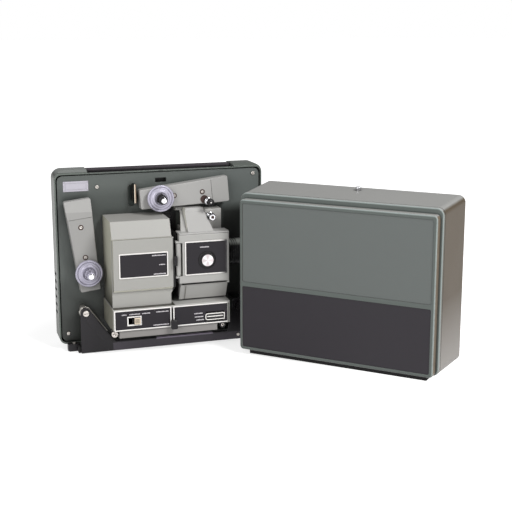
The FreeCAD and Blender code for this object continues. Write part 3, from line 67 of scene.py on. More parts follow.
def fill(node, values):
    # an output socket is linked in, anything else becomes the input's constant value
    for key, value in values.items():
        if isinstance(value, bpy.types.NodeSocket):
            node.id_data.links.new(value, node.inputs[key])
        else:
            node.inputs[key].default_value = value


def addNode(tree, kind, values=None, **settings):
    node = tree.nodes.new(kind)
    for key, value in settings.items():
        setattr(node, key, value)
    fill(node, values or {})
    return node


def mathNode(tree, operation, a, b, clamp=False):
    return addNode(tree, "ShaderNodeMath", {0: a, 1: b}, operation=operation, use_clamp=clamp).outputs[0]


def vectorNode(tree, operation, *sources):
    node = addNode(tree, "ShaderNodeVectorMath", dict(enumerate(sources)), operation=operation)
    return node.outputs["Value" if operation in ("DOT_PRODUCT", "LENGTH") else "Vector"]


def mixColours(tree, factor, a, b):
    node = addNode(tree, "ShaderNodeMix", {0: factor, 6: a, 7: b}, data_type="RGBA", blend_type="MIX")
    return node.outputs[2]


sprayLook = {"cloudScale": 14.0, "cloudDetail": 4.0, "cloudRoughness": 0.6, "grainDetail": 2.0,
             "grainRoughness": 0.5, "dulling": 0.8}


def makeGrainGroup():
    # fine spray grain of an enamelled or moulded surface, with slow cloudy tone changes
    look = sprayLook
    group, enter, leave = newGroup("sprayGrain", (
        ("Colour", "Color", (0.5, 0.5, 0.5, 1)), ("Grain Size", "Float", 1500.0),
        ("Cloud Share", "Float", 0.06), ("Grain Share", "Float", 0.05), ("Roughness", "Float", 0.4)),
        (("Colour", "Color"), ("Roughness", "Float"), ("Height", "Float")))
    place = addNode(group, "ShaderNodeTexCoord").outputs["Object"]
    cloud = addNode(group, "ShaderNodeTexNoise", {
        "Vector": place, "Scale": look["cloudScale"], "Detail": look["cloudDetail"],
        "Roughness": look["cloudRoughness"]}).outputs["Fac"]
    grain = addNode(group, "ShaderNodeTexNoise", {
        "Vector": place, "Scale": enter["Grain Size"], "Detail": look["grainDetail"],
        "Roughness": look["grainRoughness"]}).outputs["Fac"]
    cloudPart = mathNode(group, "MULTIPLY", mathNode(group, "SUBTRACT", cloud, 0.5), enter["Cloud Share"])
    grainPart = mathNode(group, "MULTIPLY", mathNode(group, "SUBTRACT", grain, 0.5), enter["Grain Share"])
    gain = mathNode(group, "ADD", mathNode(group, "ADD", cloudPart, grainPart), 1.0)
    shade = addNode(group, "ShaderNodeVectorMath", {0: enter["Colour"], "Scale": gain}, operation="SCALE")
    duller = mathNode(group, "MULTIPLY", cloudPart, look["dulling"])
    fill(leave, {"Colour": shade.outputs[0], "Height": grain,
                 "Roughness": mathNode(group, "ADD", enter["Roughness"], duller, clamp=True)})
    return group


# dust is the thing's own; creviceShade is the colour of painted shade in corners and crevices
wearLightShadeLook = {"bevelSamples": 6, "patchScale": 90.0, "patchDetail": 3.0, "edgeGain": 5.0,
            "creviceSamples": 8, "creviceGain": 1.6, "dust": (190, 186, 178), "creviceShade": (22, 20, 20)}


def makeWearLightShadeGroup():
    # soft edges; where two faces meet the edges are rubbed lighter and painted as highlights; dust on what
    # faces up; painted shade in the corners and crevices
    look = wearLightShadeLook
    group, enter, leave = newGroup("edgeWearLightAndShade", (
        ("Colour", "Color", (0.5, 0.5, 0.5, 1)), ("Edge Colour", "Color", (0.7, 0.7, 0.7, 1)),
        ("Edge Width", "Float", 0.0006), ("Edge Share", "Float", 0.4), ("Dust Share", "Float", 0.08),
        ("Crevice Reach", "Float", 0.005), ("Crevice Share", "Float", 0.6)),
        (("Colour", "Color"), ("Normal", "Vector")))
    rounded = addNode(group, "ShaderNodeBevel", {"Radius": enter["Edge Width"]},
                      samples=look["bevelSamples"]).outputs[0]
    facing = addNode(group, "ShaderNodeNewGeometry").outputs["Normal"]
    place = addNode(group, "ShaderNodeTexCoord").outputs["Object"]
    patchy = addNode(group, "ShaderNodeTexNoise", {"Vector": place, "Scale": look["patchScale"],
                                                   "Detail": look["patchDetail"]}).outputs["Fac"]
    # edge colour: rubbed paint and a painted highlight along the edges
    bend = mathNode(group, "SUBTRACT", 1.0, vectorNode(group, "DOT_PRODUCT", rounded, facing))
    edge = mathNode(group, "MULTIPLY", mathNode(group, "MULTIPLY", bend, look["edgeGain"], clamp=True),
                    mathNode(group, "MULTIPLY", patchy, enter["Edge Share"]), clamp=True)
    worn = mixColours(group, edge, enter["Colour"], enter["Edge Colour"])
    up = addNode(group, "ShaderNodeSeparateXYZ", {0: facing}).outputs["Z"]
    dust = mathNode(group, "MULTIPLY", mathNode(group, "MAXIMUM", up, 0.0),
                    mathNode(group, "MULTIPLY", patchy, enter["Dust Share"]), clamp=True)
    dusty = mixColours(group, dust, worn, tone(look["dust"]))
    # painted shade: darker where other surfaces stand close, as ambient occlusion finds them
    closeness = addNode(group, "ShaderNodeAmbientOcclusion", {"Distance": enter["Crevice Reach"]},
                        samples=look["creviceSamples"]).outputs["AO"]
    hidden = mathNode(group, "SUBTRACT", 1.0, closeness)
    dark = mathNode(group, "MULTIPLY", mathNode(group, "MULTIPLY", hidden, look["creviceGain"], clamp=True),
                    enter["Crevice Share"], clamp=True)
    fill(leave, {"Colour": mixColours(group, dark, dusty, tone(look["creviceShade"])), "Normal": rounded})
    return group


patchLook = {"facingFrom": 0.6, "facingGain": 4.0, "shortestFacing": 0.5}


def makePatchGroup():
    # a second colour inside one box of the piece's own coordinates, on faces that look one way
    look = patchLook
    group, enter, leave = newGroup("paintPatch", (
        ("Colour", "Color", (0.5, 0.5, 0.5, 1)), ("Patch Colour", "Color", (0.1, 0.1, 0.1, 1)),
        ("Low", "Vector", (0, 0, 0)), ("High", "Vector", (1, 1, 1)), ("Border", "Float", 0.0004),
        ("Facing", "Vector", (0, 0, 0))), (("Colour", "Color"),))
    place = addNode(group, "ShaderNodeTexCoord").outputs
    above = vectorNode(group, "SUBTRACT", place["Object"], enter["Low"])
    below = vectorNode(group, "SUBTRACT", enter["High"], place["Object"])
    inside = addNode(group, "ShaderNodeSeparateXYZ", {0: vectorNode(group, "MINIMUM", above, below)}).outputs
    least = mathNode(group, "MINIMUM", inside["X"], mathNode(group, "MINIMUM", inside["Y"], inside["Z"]))
    within = mathNode(group, "DIVIDE", least, enter["Border"], clamp=True)
    size = vectorNode(group, "LENGTH", enter["Facing"])
    anyWay = mathNode(group, "LESS_THAN", size, look["shortestFacing"])
    looks = vectorNode(group, "DOT_PRODUCT", place["Normal"], enter["Facing"])
    towards = mathNode(group, "MULTIPLY", mathNode(group, "SUBTRACT", looks, look["facingFrom"]),
                       look["facingGain"], clamp=True)
    mask = mathNode(group, "MULTIPLY", within, mathNode(group, "MAXIMUM", anyWay, towards), clamp=True)
    fill(leave, {"Colour": mixColours(group, mask, enter["Colour"], enter["Patch Colour"])})
    return group


grainGroup = makeGrainGroup()
wearLightShadeGroup = makeWearLightShadeGroup()
patchGroup = makePatchGroup()

# What a finish has where its own entry below says nothing else
plainLook = {"grainSize": 1500.0, "cloud": 0.08, "grain": 0.08, "edgeWidth": 0.0006, "edge": 0.4, "dust": 0.05,
             "creviceReach": 0.005, "crevice": 0.6, "bump": 0.08, "bumpDepth": 0.0004, "metallic": 0.0,
             "specular": 0.5, "patches": ()}


def newMaterial(name):
    material = bpy.data.materials.new(name)
    material.use_nodes = True
    return material, material.node_tree, material.node_tree.nodes["Principled BSDF"]


def coatedFinish(name, ownLook):
    # enamel, moulding, rubber and metal: one shader, grain from the shared groups, edges rubbed lighter and
    # painted as highlights, painted shade in crevices, and patches that mostly paint light and shade
    look = {**plainLook, "edgeColour": ownLook["colour"], **ownLook}
    material, tree, shader = newMaterial(name)
    grain = addNode(tree, "ShaderNodeGroup", {
        "Colour": tone(look["colour"]), "Grain Size": look["grainSize"], "Cloud Share": look["cloud"],
        "Grain Share": look["grain"], "Roughness": look["roughness"]}, node_tree=grainGroup).outputs
    colour = grain["Colour"]
    for painted in look["patches"]:
        area = addNode(tree, "ShaderNodeGroup", {**painted, "Colour": colour}, node_tree=patchGroup)
        colour = area.outputs["Colour"]
    wearLightShade = addNode(tree, "ShaderNodeGroup", {
        "Colour": colour, "Edge Colour": tone(look["edgeColour"]), "Edge Width": look["edgeWidth"],
        "Edge Share": look["edge"], "Dust Share": look["dust"], "Crevice Reach": look["creviceReach"],
        "Crevice Share": look["crevice"]}, node_tree=wearLightShadeGroup).outputs
    bump = addNode(tree, "ShaderNodeBump", {"Strength": look["bump"], "Distance": look["bumpDepth"],
                                            "Height": grain["Height"], "Normal": wearLightShade["Normal"]})
    fill(shader, {"Base Color": wearLightShade["Colour"], "Roughness": grain["Roughness"],
                  "Normal": bump.outputs["Normal"], "Metallic": look["metallic"],
                  "Specular IOR Level": look["specular"]})
    return material


def patch(low, high, colour, facing=(0, 0, 0), border=0.4):
    # box in the CAD frame; the colour fades in over the border. Facing picks the faces that look that way:
    # (0, 0, 0) takes them all, and a vector shorter than 1 paints thinner and more narrowly.
    return {"Low": [value * mm for value in low], "High": [value * mm for value in high],
            "Border": border * mm, "Facing": facing, "Patch Colour": tone(colour)}


farLow = (-1000, -1000, -1000)
farHigh = (1000, 1000, 1000)
leftWay = (-1, 0, 0)
upWay = (0, 0, 1)
coverFront = (-math.sqrt(0.5), -math.sqrt(0.5), 0)  # the cover stands turned by 45 degrees
coverRight = (math.sqrt(0.5), -math.sqrt(0.5), 0)
shadowBlack = (16, 15, 16)
paintedEdgeHighlight = (152, 162, 160)
house = {"colour": (163, 162, 159), "roughness": 0.45, "edgeColour": (205, 205, 202), "grain": 0.06,
         "crevice": 0.3, "creviceReach": 0.003}

finishLooks = {
    "shellGreen": {
        "colour": (92, 98, 93), "roughness": 0.4, "metallic": 0.25, "specular": 0.4, "grain": 0.10,
        "bump": 0.10, "edgeColour": (132, 140, 134), "patches": (
            patch((-116.9, 6.2, 268), (121.4, 41, 290), shadowBlack),
            # painted light on the left end of the top, painted shade on the left side
            patch((-172, 0, 270), (-117.5, 60, 292), (130, 134, 131), upWay),
            patch((-172, 2, 10), (-166, 60, 290), (74, 78, 72), leftWay))},
    "panelGreen": {
        "colour": (78, 83, 80), "roughness": 0.42, "edgeColour": (120, 128, 122), "grain": 0.10, "bump": 0.10,
        "creviceReach": 0.012, "patches": (
            # painted shade darker towards the bottom, painted light at the upper right, painted shade above the
            # lamp house's left end, and the cover's shadow painted right of the hood; the black patches are
            # painted shade in the latch slot and in the gap between the houses
            patch(farLow, (1000, 1000, 130), (44, 47, 44), border=80),
            patch((40, -1000, 200), farHigh, (88, 93, 91), border=40),
            patch((-172, -1000, 196), (-40, 1000, 264), (62, 67, 64), border=20),
            patch((90, -1000, 60), (1000, 1000, 226), (30, 32, 30), border=16),
            patch((-9.5, -0.02, 262.5), (9.5, 20, 272.5), shadowBlack),
            patch((-8, -1, 78), (24, 1, 226), shadowBlack))},
    "coverSide": {
        "colour": (150, 150, 148), "roughness": 0.42, "specular": 0.1, "edgeColour": (160, 168, 164),
        "grain": 0.12, "creviceReach": 0.003, "crevice": 0.7, "patches": (
            # one paint toned per face for how light falls: painted shade on the front, a painted brown
            # reflection on the right side, lighter lower down as painted floor reflection, and painted
            # highlights along the rounded edges
            patch(farLow, farHigh, (96, 102, 99), coverFront),
            patch(farLow, farHigh, (85, 75, 62), coverRight),
            patch(farLow, (1000, 1000, 120), (152, 148, 144), coverRight, border=110),
            patch(farLow, (331.5, 1000, 1000), (112, 100, 86), coverRight),
            patch(farLow, (331.5, 1000, 130), (158, 154, 148), coverRight, border=110),
            patch(farLow, farHigh, paintedEdgeHighlight, (0, -0.8, 0)),
            patch(farLow, farHigh, paintedEdgeHighlight, (-0.39, -0.39, 0.551)))},
    "coverGrey": {
        "colour": (89, 94, 92), "roughness": 0.5, "grain": 0.14, "bump": 0.16, "grainSize": 2200.0,
        "crevice": 0.8},
    "coverBlack": {
        "colour": (29, 24, 31), "roughness": 0.5, "grain": 0.16, "bump": 0.16, "grainSize": 2200.0,
        "cloud": 0.1, "specular": 0.35},
    "houseGrey": house,
    "lampHouseGrey": {**house, "colour": (158, 157, 153), "specular": 0.3, "crevice": 0.1, "patches": (
        # painted light on the upper left side, painted shade low on it, and painted light from below on the
        # brow's underside
        patch(farLow, farHigh, (176, 175, 160), leftWay),
        patch(farLow, (1000, 1000, 140), (24, 22, 16), leftWay, border=62),
        patch(farLow, farHigh, (240, 239, 224), (0, -0.3, -0.95)),
        patch((-0.4, -90, 99), (8, -45, 187.8), shadowBlack))},
    "lensHouseGrey": {**house, "patches": (
        # painted light on the upper part, painted shade on the left faces beside the gap, painted light on the
        # hood's left band, and painted shade in the groove
        patch((-1000, -1000, 184), farHigh, (173, 172, 170), border=10),
        patch((10, -60, 80), (24.5, 1, 192), (56, 51, 56), leftWay),
        patch((10, -60, 192), (40, 1, 226), (226, 225, 214), leftWay),
        patch((20.6, -90, 80), (22.4, 1, 108), (88, 88, 80), border=0.6))},
    # the door's patch is painted shade in its recess
    "doorGrey": {**house, "patches": (patch((9, -76.8, 124.9), (18.6, -60, 178.5), (112, 113, 104)),)},
    "controlGrey": {**house, "patches": (
        # painted shade on the left faces, black painted shadow by each screw, the lamp house's shadow painted
        # on the top face, and painted shade on the lip
        patch(farLow, farHigh, (128, 126, 114), leftWay),
        patch((-102, -79.2, 35), (-87.4, -60, 47.4), shadowBlack),
        patch((71, -79.2, 35), (86, -60, 47.4), shadowBlack),
        patch((-96, -81, 79), (2, -60, 82), (56, 54, 46), upWay),
        patch((-88, -79, 33), (71, -50, 44.9), (130, 127, 125)))},
    "armGrey": {
        "colour": (158, 157, 155), "roughness": 0.45, "edgeColour": (200, 200, 197), "grain": 0.06,
        # painted shade: the left arm is darker than the upper one
        "crevice": 0.3, "patches": (patch(farLow, (-80, 1000, 226), (147, 146, 144)),)},
    "baseBlack": {
        "colour": (24, 21, 25), "roughness": 0.34, "specular": 0.35, "edgeColour": (120, 116, 122),
        "grain": 0.12, "bump": 0.12, "creviceReach": 0.002, "crevice": 0.2, "patches": (
            # painted sheen on the upper faces, a painted highlight along the front wall's top edge, and a faint
            # painted sheen on its front
            patch((-110, -36, 13), (140, -24, 30), (46, 42, 50), upWay),
            patch((-20, -36, 13.4), (76, -24, 30), (196, 186, 206), border=2.4),
            patch((-90, -36, 0), (140, -33, 15.0), (150, 142, 156), border=5))},
    "handleBlack": {
        "colour": (18, 15, 19), "roughness": 0.5, "specular": 0.12,
        # painted sheen on the upper face
        "patches": (patch(farLow, farHigh, (58, 52, 60), upWay),)},
    "rubberBlack": {"colour": (30, 29, 30), "roughness": 0.8, "specular": 0.3},
    "mouldedBlack": {"colour": (20, 18, 21), "roughness": 0.35, "specular": 0.3, "edgeColour": (70, 68, 72)},
    "speedBlack": {
        "colour": (24, 22, 25), "roughness": 0.35,
        "patches": (patch((-1000, -1000, 56.6), (1000, -79, 58.4), (236, 233, 230), border=0.1),)},
    "fieldBlack": {
        "colour": (25, 21, 27), "roughness": 0.36, "specular": 0.3, "grain": 0.05, "bump": 0.03,
        # painted reflection on the right plate
        "patches": (patch((30, -1000, 58), (1000, -79, 110), (74, 64, 86), border=30),)},
    "trimWhite": {
        "colour": (236, 233, 230), "roughness": 0.35, "grain": 0.03, "bump": 0.02, "crevice": 0.25,
        "edgeColour": (200, 196, 190),
        # the cover's shadow painted on the right end
        "patches": (patch((85.8, -1000, 40), (1000, -79, 79), (106, 108, 101), border=1),)},
    "doorTrim": {
        "colour": (236, 233, 230), "roughness": 0.35, "grain": 0.03, "bump": 0.02, "crevice": 0.25,
        # the cover's shadow painted on the right side
        "patches": (patch((76, -1000, 100), (1000, 1000, 200), (46, 43, 47), border=9),)},
    "screwPlated": {"colour": (206, 200, 194), "roughness": 0.3, "metallic": 0.85, "grain": 0.1},
    # dark brown painted as the shade in holes and recesses and as a cast shadow
    "recessShadeBrown": {"colour": (74, 58, 54), "roughness": 0.5, "metallic": 0.4},
    "springSteel": {"colour": (176, 172, 166), "roughness": 0.28, "metallic": 0.9},
    "clipSteel": {
        "colour": (196, 184, 168), "roughness": 0.28, "metallic": 0.9, "patches": (
            # painted shade on the blade's left face and foot
            patch((-55, -18.7, 226), (-43, 1, 266), (40, 44, 42)),
            patch((-45.9, -22, 226), (-43, -18, 266), (120, 98, 82)))},
    "darkSteel": {"colour": (92, 92, 94), "roughness": 0.4, "metallic": 1.0},
    "bronze": {"colour": (178, 150, 100), "roughness": 0.45, "metallic": 1.0},
    "labelMetal": {"colour": (178, 175, 184), "roughness": 0.4, "metallic": 0.2, "grain": 0.05},
    "switchIvory": {"colour": (222, 206, 184), "roughness": 0.35},
    "turnedAlloy": {
        "colour": (177, 174, 189), "roughness": 0.4, "metallic": 0.5, "grain": 0.04, "crevice": 0.35,
        # painted shade: the left disc is darker than the upper one
        "patches": (patch(farLow, (-90, 1000, 200), (165, 162, 177)),)},
    "gateSteel": {"colour": (60, 60, 62), "roughness": 0.3, "metallic": 0.8, "grain": 0.2},
    "lensBlack": {
        "colour": (22, 22, 24), "roughness": 0.3, "metallic": 0.3, "edgeColour": (120, 120, 124),
        # painted highlight on the barrel's upper faces
        "patches": (patch((91, -1000, 150), farHigh, (176, 180, 174), upWay),)},
    "castGrey": {"colour": (150, 150, 150), "roughness": 0.5, "metallic": 0.7},
    "motorGrey": {"colour": (98, 100, 103), "roughness": 0.45},
    "mirror": {"colour": (230, 230, 228), "roughness": 0.08, "metallic": 1.0},
    "coreIron": {"colour": (98, 82, 62), "roughness": 0.6},
    "chrome": {"colour": (222, 222, 226), "roughness": 0.12, "metallic": 1.0, "grain": 0.02, "bump": 0.01},
    # a dark line painted as shade in the arms' crease
    "creaseShade": {"colour": (86, 86, 84), "roughness": 0.5},
    "labelRule": {"colour": (166, 162, 173), "roughness": 0.4, "metallic": 0.2},
    "printWhite": {"colour": (206, 202, 206), "roughness": 0.5, "grain": 0.1, "bump": 0.0, "edge": 0.0},
}
finishes = {name: coatedFinish(name, look) for name, look in finishLooks.items()}

glassLook = {"straight": (214, 206, 232), "slanted": (160, 150, 206), "blend": 0.35, "roughness": 0.02,
             "ior": 1.52}


def glassFinish():
    # coated lens glass, bluer where it is seen at a slant
    look = glassLook
    material, tree, shader = newMaterial("coatedGlass")
    facing = addNode(tree, "ShaderNodeLayerWeight", {"Blend": look["blend"]}).outputs["Facing"]
    fill(shader, {"Base Color": mixColours(tree, facing, tone(look["straight"]), tone(look["slanted"])),
                  "Transmission Weight": 1.0, "Roughness": look["roughness"], "IOR": look["ior"]})
    return material


discFinishLook = {"bright": (252, 250, 252), "dim": (204, 190, 192), "sheenSectors": 4.0, "contrast": 0.35,
                  "middle": 0.45, "streak": 0.6, "metal": {
                      "colour": (236, 230, 234), "roughness": 0.4, "metallic": 0.35, "grain": 0.02,
                      "bump": 0.02, "edge": 0.1}}


def discFinish():
    # finely turned disc: bright and dim sectors painted round its centre as the sheen of its turning
    look = discFinishLook
    material = coatedFinish("turnedDiscSheen", look["metal"])
    tree = material.node_tree
    low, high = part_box("focus_cap")
    place = addNode(tree, "ShaderNodeTexCoord").outputs["Object"]
    centred = vectorNode(tree, "SUBTRACT", place, [(low[i] + high[i]) / 2 for i in range(3)])
    split = addNode(tree, "ShaderNodeSeparateXYZ", {0: centred}).outputs
    turn = mathNode(tree, "ARCTAN2", split["Z"], split["X"])
    waves = mathNode(tree, "COSINE", mathNode(tree, "MULTIPLY", turn, look["sheenSectors"]), 0.0)
    swing = mathNode(tree, "MULTIPLY", waves, look["contrast"])
    share = mathNode(tree, "ADD", swing, look["middle"], clamp=True)
    sheenSectors = mixColours(tree, share, tone(look["bright"]), tone(look["dim"]))
    fill(tree.nodes["Principled BSDF"], {"Base Color": sheenSectors, "Anisotropic": look["streak"]})
    return material


finishes["glass"] = glassFinish()
finishes["turnedDiscSheen"] = discFinish()

nodesOfFinish = {
    "baseBlack": "base_tray",
    "rubberBlack": "rubber_feet focus_wheel drive_belt takeup_belt cover_runner",
    "screwPlated": "base_screws panel_screws control_screws pivot_shaft",
    "chrome": "panel_pins latch_button",
    "bronze": "pivot_bush",
    "springSteel": "balance_spring motor_shaft main_shaft",
    "clipSteel": "arm_clip",
    "mouldedBlack": "feed_roller_pin tilt_knob focus_knob size_lever motion_lever inlet_roller feed_roller "
                    "mains_inlet lamp_socket takeup_pulley switch_slider",
    "handleBlack": "carry_handle",
    "speedBlack": "speed_wheel",
    "darkSteel": "tilt_quadrant",
    "shellGreen": "rear_shell",
    "panelGreen": "mechanism_panel",
    "houseGrey": "inlet_block catch_bar",
    "coverSide": "cover_shell",
    "coverGrey": "cover_upper_panel",
    "coverBlack": "cover_lower_panel",
    "labelMetal": "label_plate",
    "lampHouseGrey": "lamp_house",
    "lensHouseGrey": "lens_house",
    "doorGrey": "gate_door",
    "controlGrey": "control_housing",
    "armGrey": "feed_arm takeup_arm",
    "trimWhite": "front_borders",
    "doorTrim": "door_border",
    "fieldBlack": "front_fields door_plate",
    "turnedAlloy": "feed_spindle takeup_spindle focus_cap",
    "gateSteel": "film_gate",
    "lensBlack": "lens_barrel",
    "glass": "lens_glass",
    "castGrey": "lens_mount main_bearings",
    "motorGrey": "motor",
    "mirror": "lamp",
    "coreIron": "transformer",
}
for finishName, nodeNames in nodesOfFinish.items():
    for nodeName in nodeNames.split():
        mesh = nodes[nodeName].data
        mesh.materials.clear()
        mesh.materials.append(finishes[finishName])
print("stage: finishes on the CAD nodes")


# Modelling helpers: each leaves its form with its place in the mesh

smoothAngle = 35.0  # degrees; flatter meetings of two faces are smoothed, sharper ones rounded
bevelSegments = 2
doublesGap = 0.000005


def deselectAll():
    if bpy.context.mode != "OBJECT":
        bpy.ops.object.mode_set(mode="OBJECT")
    bpy.ops.object.select_all(action="DESELECT")


def chooseOnly(piece):
    deselectAll()
    piece.select_set(True)
    bpy.context.view_layer.objects.active = piece


def applyModifiers(piece):
    chooseOnly(piece)
    for name in [modifier.name for modifier in piece.modifiers]:
        bpy.ops.object.modifier_apply(modifier=name)


def smoothShade(piece, angle=smoothAngle):
    chooseOnly(piece)
    bpy.ops.object.shade_smooth_by_angle(angle=math.radians(angle))


def roundEdges(piece, width):
    rounding = piece.modifiers.new("rounding", "BEVEL")
    rounding.width = width * mm
    rounding.segments = bevelSegments
    rounding.limit_method = "ANGLE"
    rounding.angle_limit = math.radians(smoothAngle)
    applyModifiers(piece)
    smoothShade(piece)


def cleanNormals(piece):
    chooseOnly(piece)
    bpy.ops.object.mode_set(mode="EDIT")
    bpy.ops.mesh.select_all(action="SELECT")
    bpy.ops.mesh.remove_doubles(threshold=doublesGap)
    bpy.ops.mesh.normals_make_consistent(inside=False)
    bpy.ops.object.mode_set(mode="OBJECT")


def turnedForm(name, centre, profile, sides=48):
    # profile: stations (depth along Y, radius) from the back of the piece to its front; centre is (x, z)
    x, z = centre[0] * mm, centre[1] * mm
    depth, radius = profile[0]
    deselectAll()
    bpy.ops.mesh.primitive_circle_add(vertices=sides, radius=radius * mm, fill_type="NGON",
                                      location=(x, depth * mm, z), rotation=(math.pi / 2, 0, 0))
    piece = bpy.context.object
    piece.name = name
    bpy.ops.object.transform_apply(location=True, rotation=True, scale=True)
    bpy.ops.object.mode_set(mode="EDIT")
    bpy.ops.mesh.select_all(action="SELECT")
    for nextDepth, nextRadius in profile[1:]:
        step = (nextDepth - depth) * mm
        bpy.ops.mesh.extrude_region_move(TRANSFORM_OT_translate={"value": (0, step, 0)})
        if nextRadius != radius:
            share = nextRadius / radius
            bpy.ops.transform.resize(value=(share, 1, share), center_override=(x, nextDepth * mm, z))
        depth, radius = nextDepth, nextRadius
    bpy.ops.object.mode_set(mode="OBJECT")
    cleanNormals(piece)
    return piece


def blockForm(name, low, high):
    deselectAll()
    middle = [(low[i] + high[i]) / 2 * mm for i in range(3)]
    bpy.ops.mesh.primitive_cube_add(size=1, location=middle)
    piece = bpy.context.object
    piece.name = name
    piece.scale = [(high[i] - low[i]) * mm for i in range(3)]
    bpy.ops.object.transform_apply(location=True, rotation=True, scale=True)
    return piece


def cutAway(piece, cutter):
    carve = piece.modifiers.new("carve", "BOOLEAN")
    carve.operation = "DIFFERENCE"
    carve.object = cutter
    applyModifiers(piece)
    bpy.data.objects.remove(cutter, do_unlink=True)


def placeTurned(piece, angles, place):
    # turn and shift a finished form, then store both in its mesh
    chooseOnly(piece)
    piece.rotation_euler = angles
    piece.location = place
    bpy.ops.object.transform_apply(location=True, rotation=True, scale=False)


def turnAbout(piece, centre, degrees):
    # turn about an axis along Y through centre (x, z)
    turn = math.radians(degrees)
    x, z = centre[0] * mm, centre[1] * mm
    placeTurned(piece, (0, turn, 0), (x - x * math.cos(turn) - z * math.sin(turn), 0,
                                      z + x * math.sin(turn) - z * math.cos(turn)))


def xTurned(piece, centre):
    # a form about Y through (0, 0) becomes one about X through centre (y, z), its front towards +X
    placeTurned(piece, (0, 0, math.pi / 2), (0, centre[0] * mm, centre[1] * mm))
    return piece


def joined(name, parts):
    deselectAll()
    for part in parts:
        part.select_set(True)
    bpy.context.view_layer.objects.active = parts[0]
    bpy.ops.object.join()
    parts[0].name = name
    return parts[0]


def dress(piece, finish, body, slotName, *stoodFor):
    piece.data.materials.clear()
    piece.data.materials.append(finishes[finish])
    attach(piece, body)
    if stoodFor:
        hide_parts(*stoodFor)


def boxOf(node):
    # low and high corner of a CAD node
    low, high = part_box(node)
    return [value / mm for value in low], [value / mm for value in high]


def middleOf(node):
    low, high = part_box(node)
    return (low[0] + high[0]) / 2 / mm, (low[2] + high[2]) / 2 / mm


# Reel spindles: stepped disc, keyed core for the reel and a bright cap

spindleLook = {
    "disc": [(-9.0, 9.0), (-12.7, 9.0), (-12.7, 3.0), (-24.3, 3.0), (-24.3, 8.0), (-31.4, 8.0), (-31.4, 20.9),
             (-32.0, 21.5), (-33.5, 21.5), (-34.6, 20.5), (-34.6, 18.6), (-33.7, 18.2), (-33.7, 17.4),
             (-35.0, 16.9), (-35.0, 14.0), (-36.2, 12.8), (-36.2, 10.0), (-35.4, 9.2), (-35.4, 7.6)],
    "core": [(-35.4, 7.6), (-42.0, 7.6), (-42.0, 5.4), (-43.0, 5.4), (-43.0, 6.2), (-54.8, 6.2), (-55.6, 5.2)],
    "cap": [(-55.0, 4.3), (-55.2, 4.7), (-57.1, 4.7), (-58.0, 3.8), (-58.0, 2.0), (-57.5, 1.6)],
    "keys": 3, "keyHalf": 1.0, "keyDepth": (-42.0, -35.4), "keyReach": (5.0, 8.6),
    "discSides": 64, "discRound": 0.25, "coreRound": 0.2, "capRound": 0.15}


def reelSpindle(label, node, body, coreFinish):
    look = spindleLook
    centre = middleOf(node)
    plate = turnedForm(label + "Disc", centre, look["disc"], look["discSides"])
    roundEdges(plate, look["discRound"])
    dress(plate, "turnedAlloy", body, "bright_alloy", node)
    parts = [turnedForm(label + "Core", centre, look["core"])]
    for index in range(look["keys"]):
        key = blockForm(label + "Key",
                        (centre[0] - look["keyHalf"], look["keyDepth"][0], centre[1] + look["keyReach"][0]),
                        (centre[0] + look["keyHalf"], look["keyDepth"][1], centre[1] + look["keyReach"][1]))
        turnAbout(key, centre, 360 / look["keys"] * index)
        parts.append(key)
    core = joined(label + "Core", parts)
    roundEdges(core, look["coreRound"])
    dress(core, coreFinish, body, "bright_alloy")
    cap = turnedForm(label + "Cap", centre, look["cap"])
    roundEdges(cap, look["capRound"])
    dress(cap, "chrome", body, "bright_alloy")


reelSpindle("feedReel", "feed_spindle", "feed_hub", "mouldedBlack")
reelSpindle("takeupReel", "takeup_spindle", "takeup_hub", "turnedAlloy")
print("stage: reel spindles")


# Film rollers: a bright ridged barrel, and a dark flange of its own at the front

rollerLook = {"flange": 6.1, "flangeThick": 2.2, "chamfer": 0.6, "frontChamfer": 0.7, "lip": 0.8,
              "lipDepth": 0.4, "waist": 4.0, "waistFrom": 0.1, "waistTo": 0.3, "ridge": 5.2, "ridges": 4,
              "ridgeFrom": 0.45, "ridgeTo": 0.85, "bore": 2.3, "overlap": 0.05, "round": 0.12}


def filmRoller(label, node, body):
    look = rollerLook
    centre = middleOf(node)
    low, high = boxOf(node)
    back, front, edge = high[1], low[1], look["flangeThick"]
    flange, bore, waist, lip = look["flange"], look["bore"], look["waist"], look["flange"] - look["lip"]
    profile = [(back, bore), (back, flange - look["chamfer"]), (back - look["chamfer"], flange),
               (back - edge + look["lipDepth"], flange), (back - edge, lip)]
    pitch = (back - front - 2 * edge) / look["ridges"]
    for index in range(look["ridges"]):
        start = back - edge - index * pitch
        profile += [(start - look["waistFrom"], waist), (start - look["waistTo"] * pitch, waist),
                    (start - look["ridgeFrom"] * pitch, look["ridge"]),
                    (start - look["ridgeTo"] * pitch, look["ridge"])]
    profile += [(front + edge, waist), (front + edge, bore), (back, bore)]
    barrel = turnedForm(label, centre, profile)
    roundEdges(barrel, look["round"])
    dress(barrel, "chrome", body, "black_plastic", node)
    seat, chamfer = front + edge - look["overlap"], look["frontChamfer"]
    end = turnedForm(label + "End", centre, [
        (seat, bore), (seat, lip), (front + edge - look["chamfer"], flange), (front + chamfer, flange),
        (front, flange - chamfer), (front, bore), (seat, bore)])
    roundEdges(end, look["round"])
    dress(end, "mouldedBlack", body, "black_plastic")


filmRoller("inletRoller", "inlet_roller", "inlet_guide")
filmRoller("feedRoller", "feed_roller", "upper_guide")


# What holds the rollers: a six-sided nut whose centre hole is a dark disc painted as shade, and a dark cap with
# a small rivet, the roller's shadow painted on the arm beside it

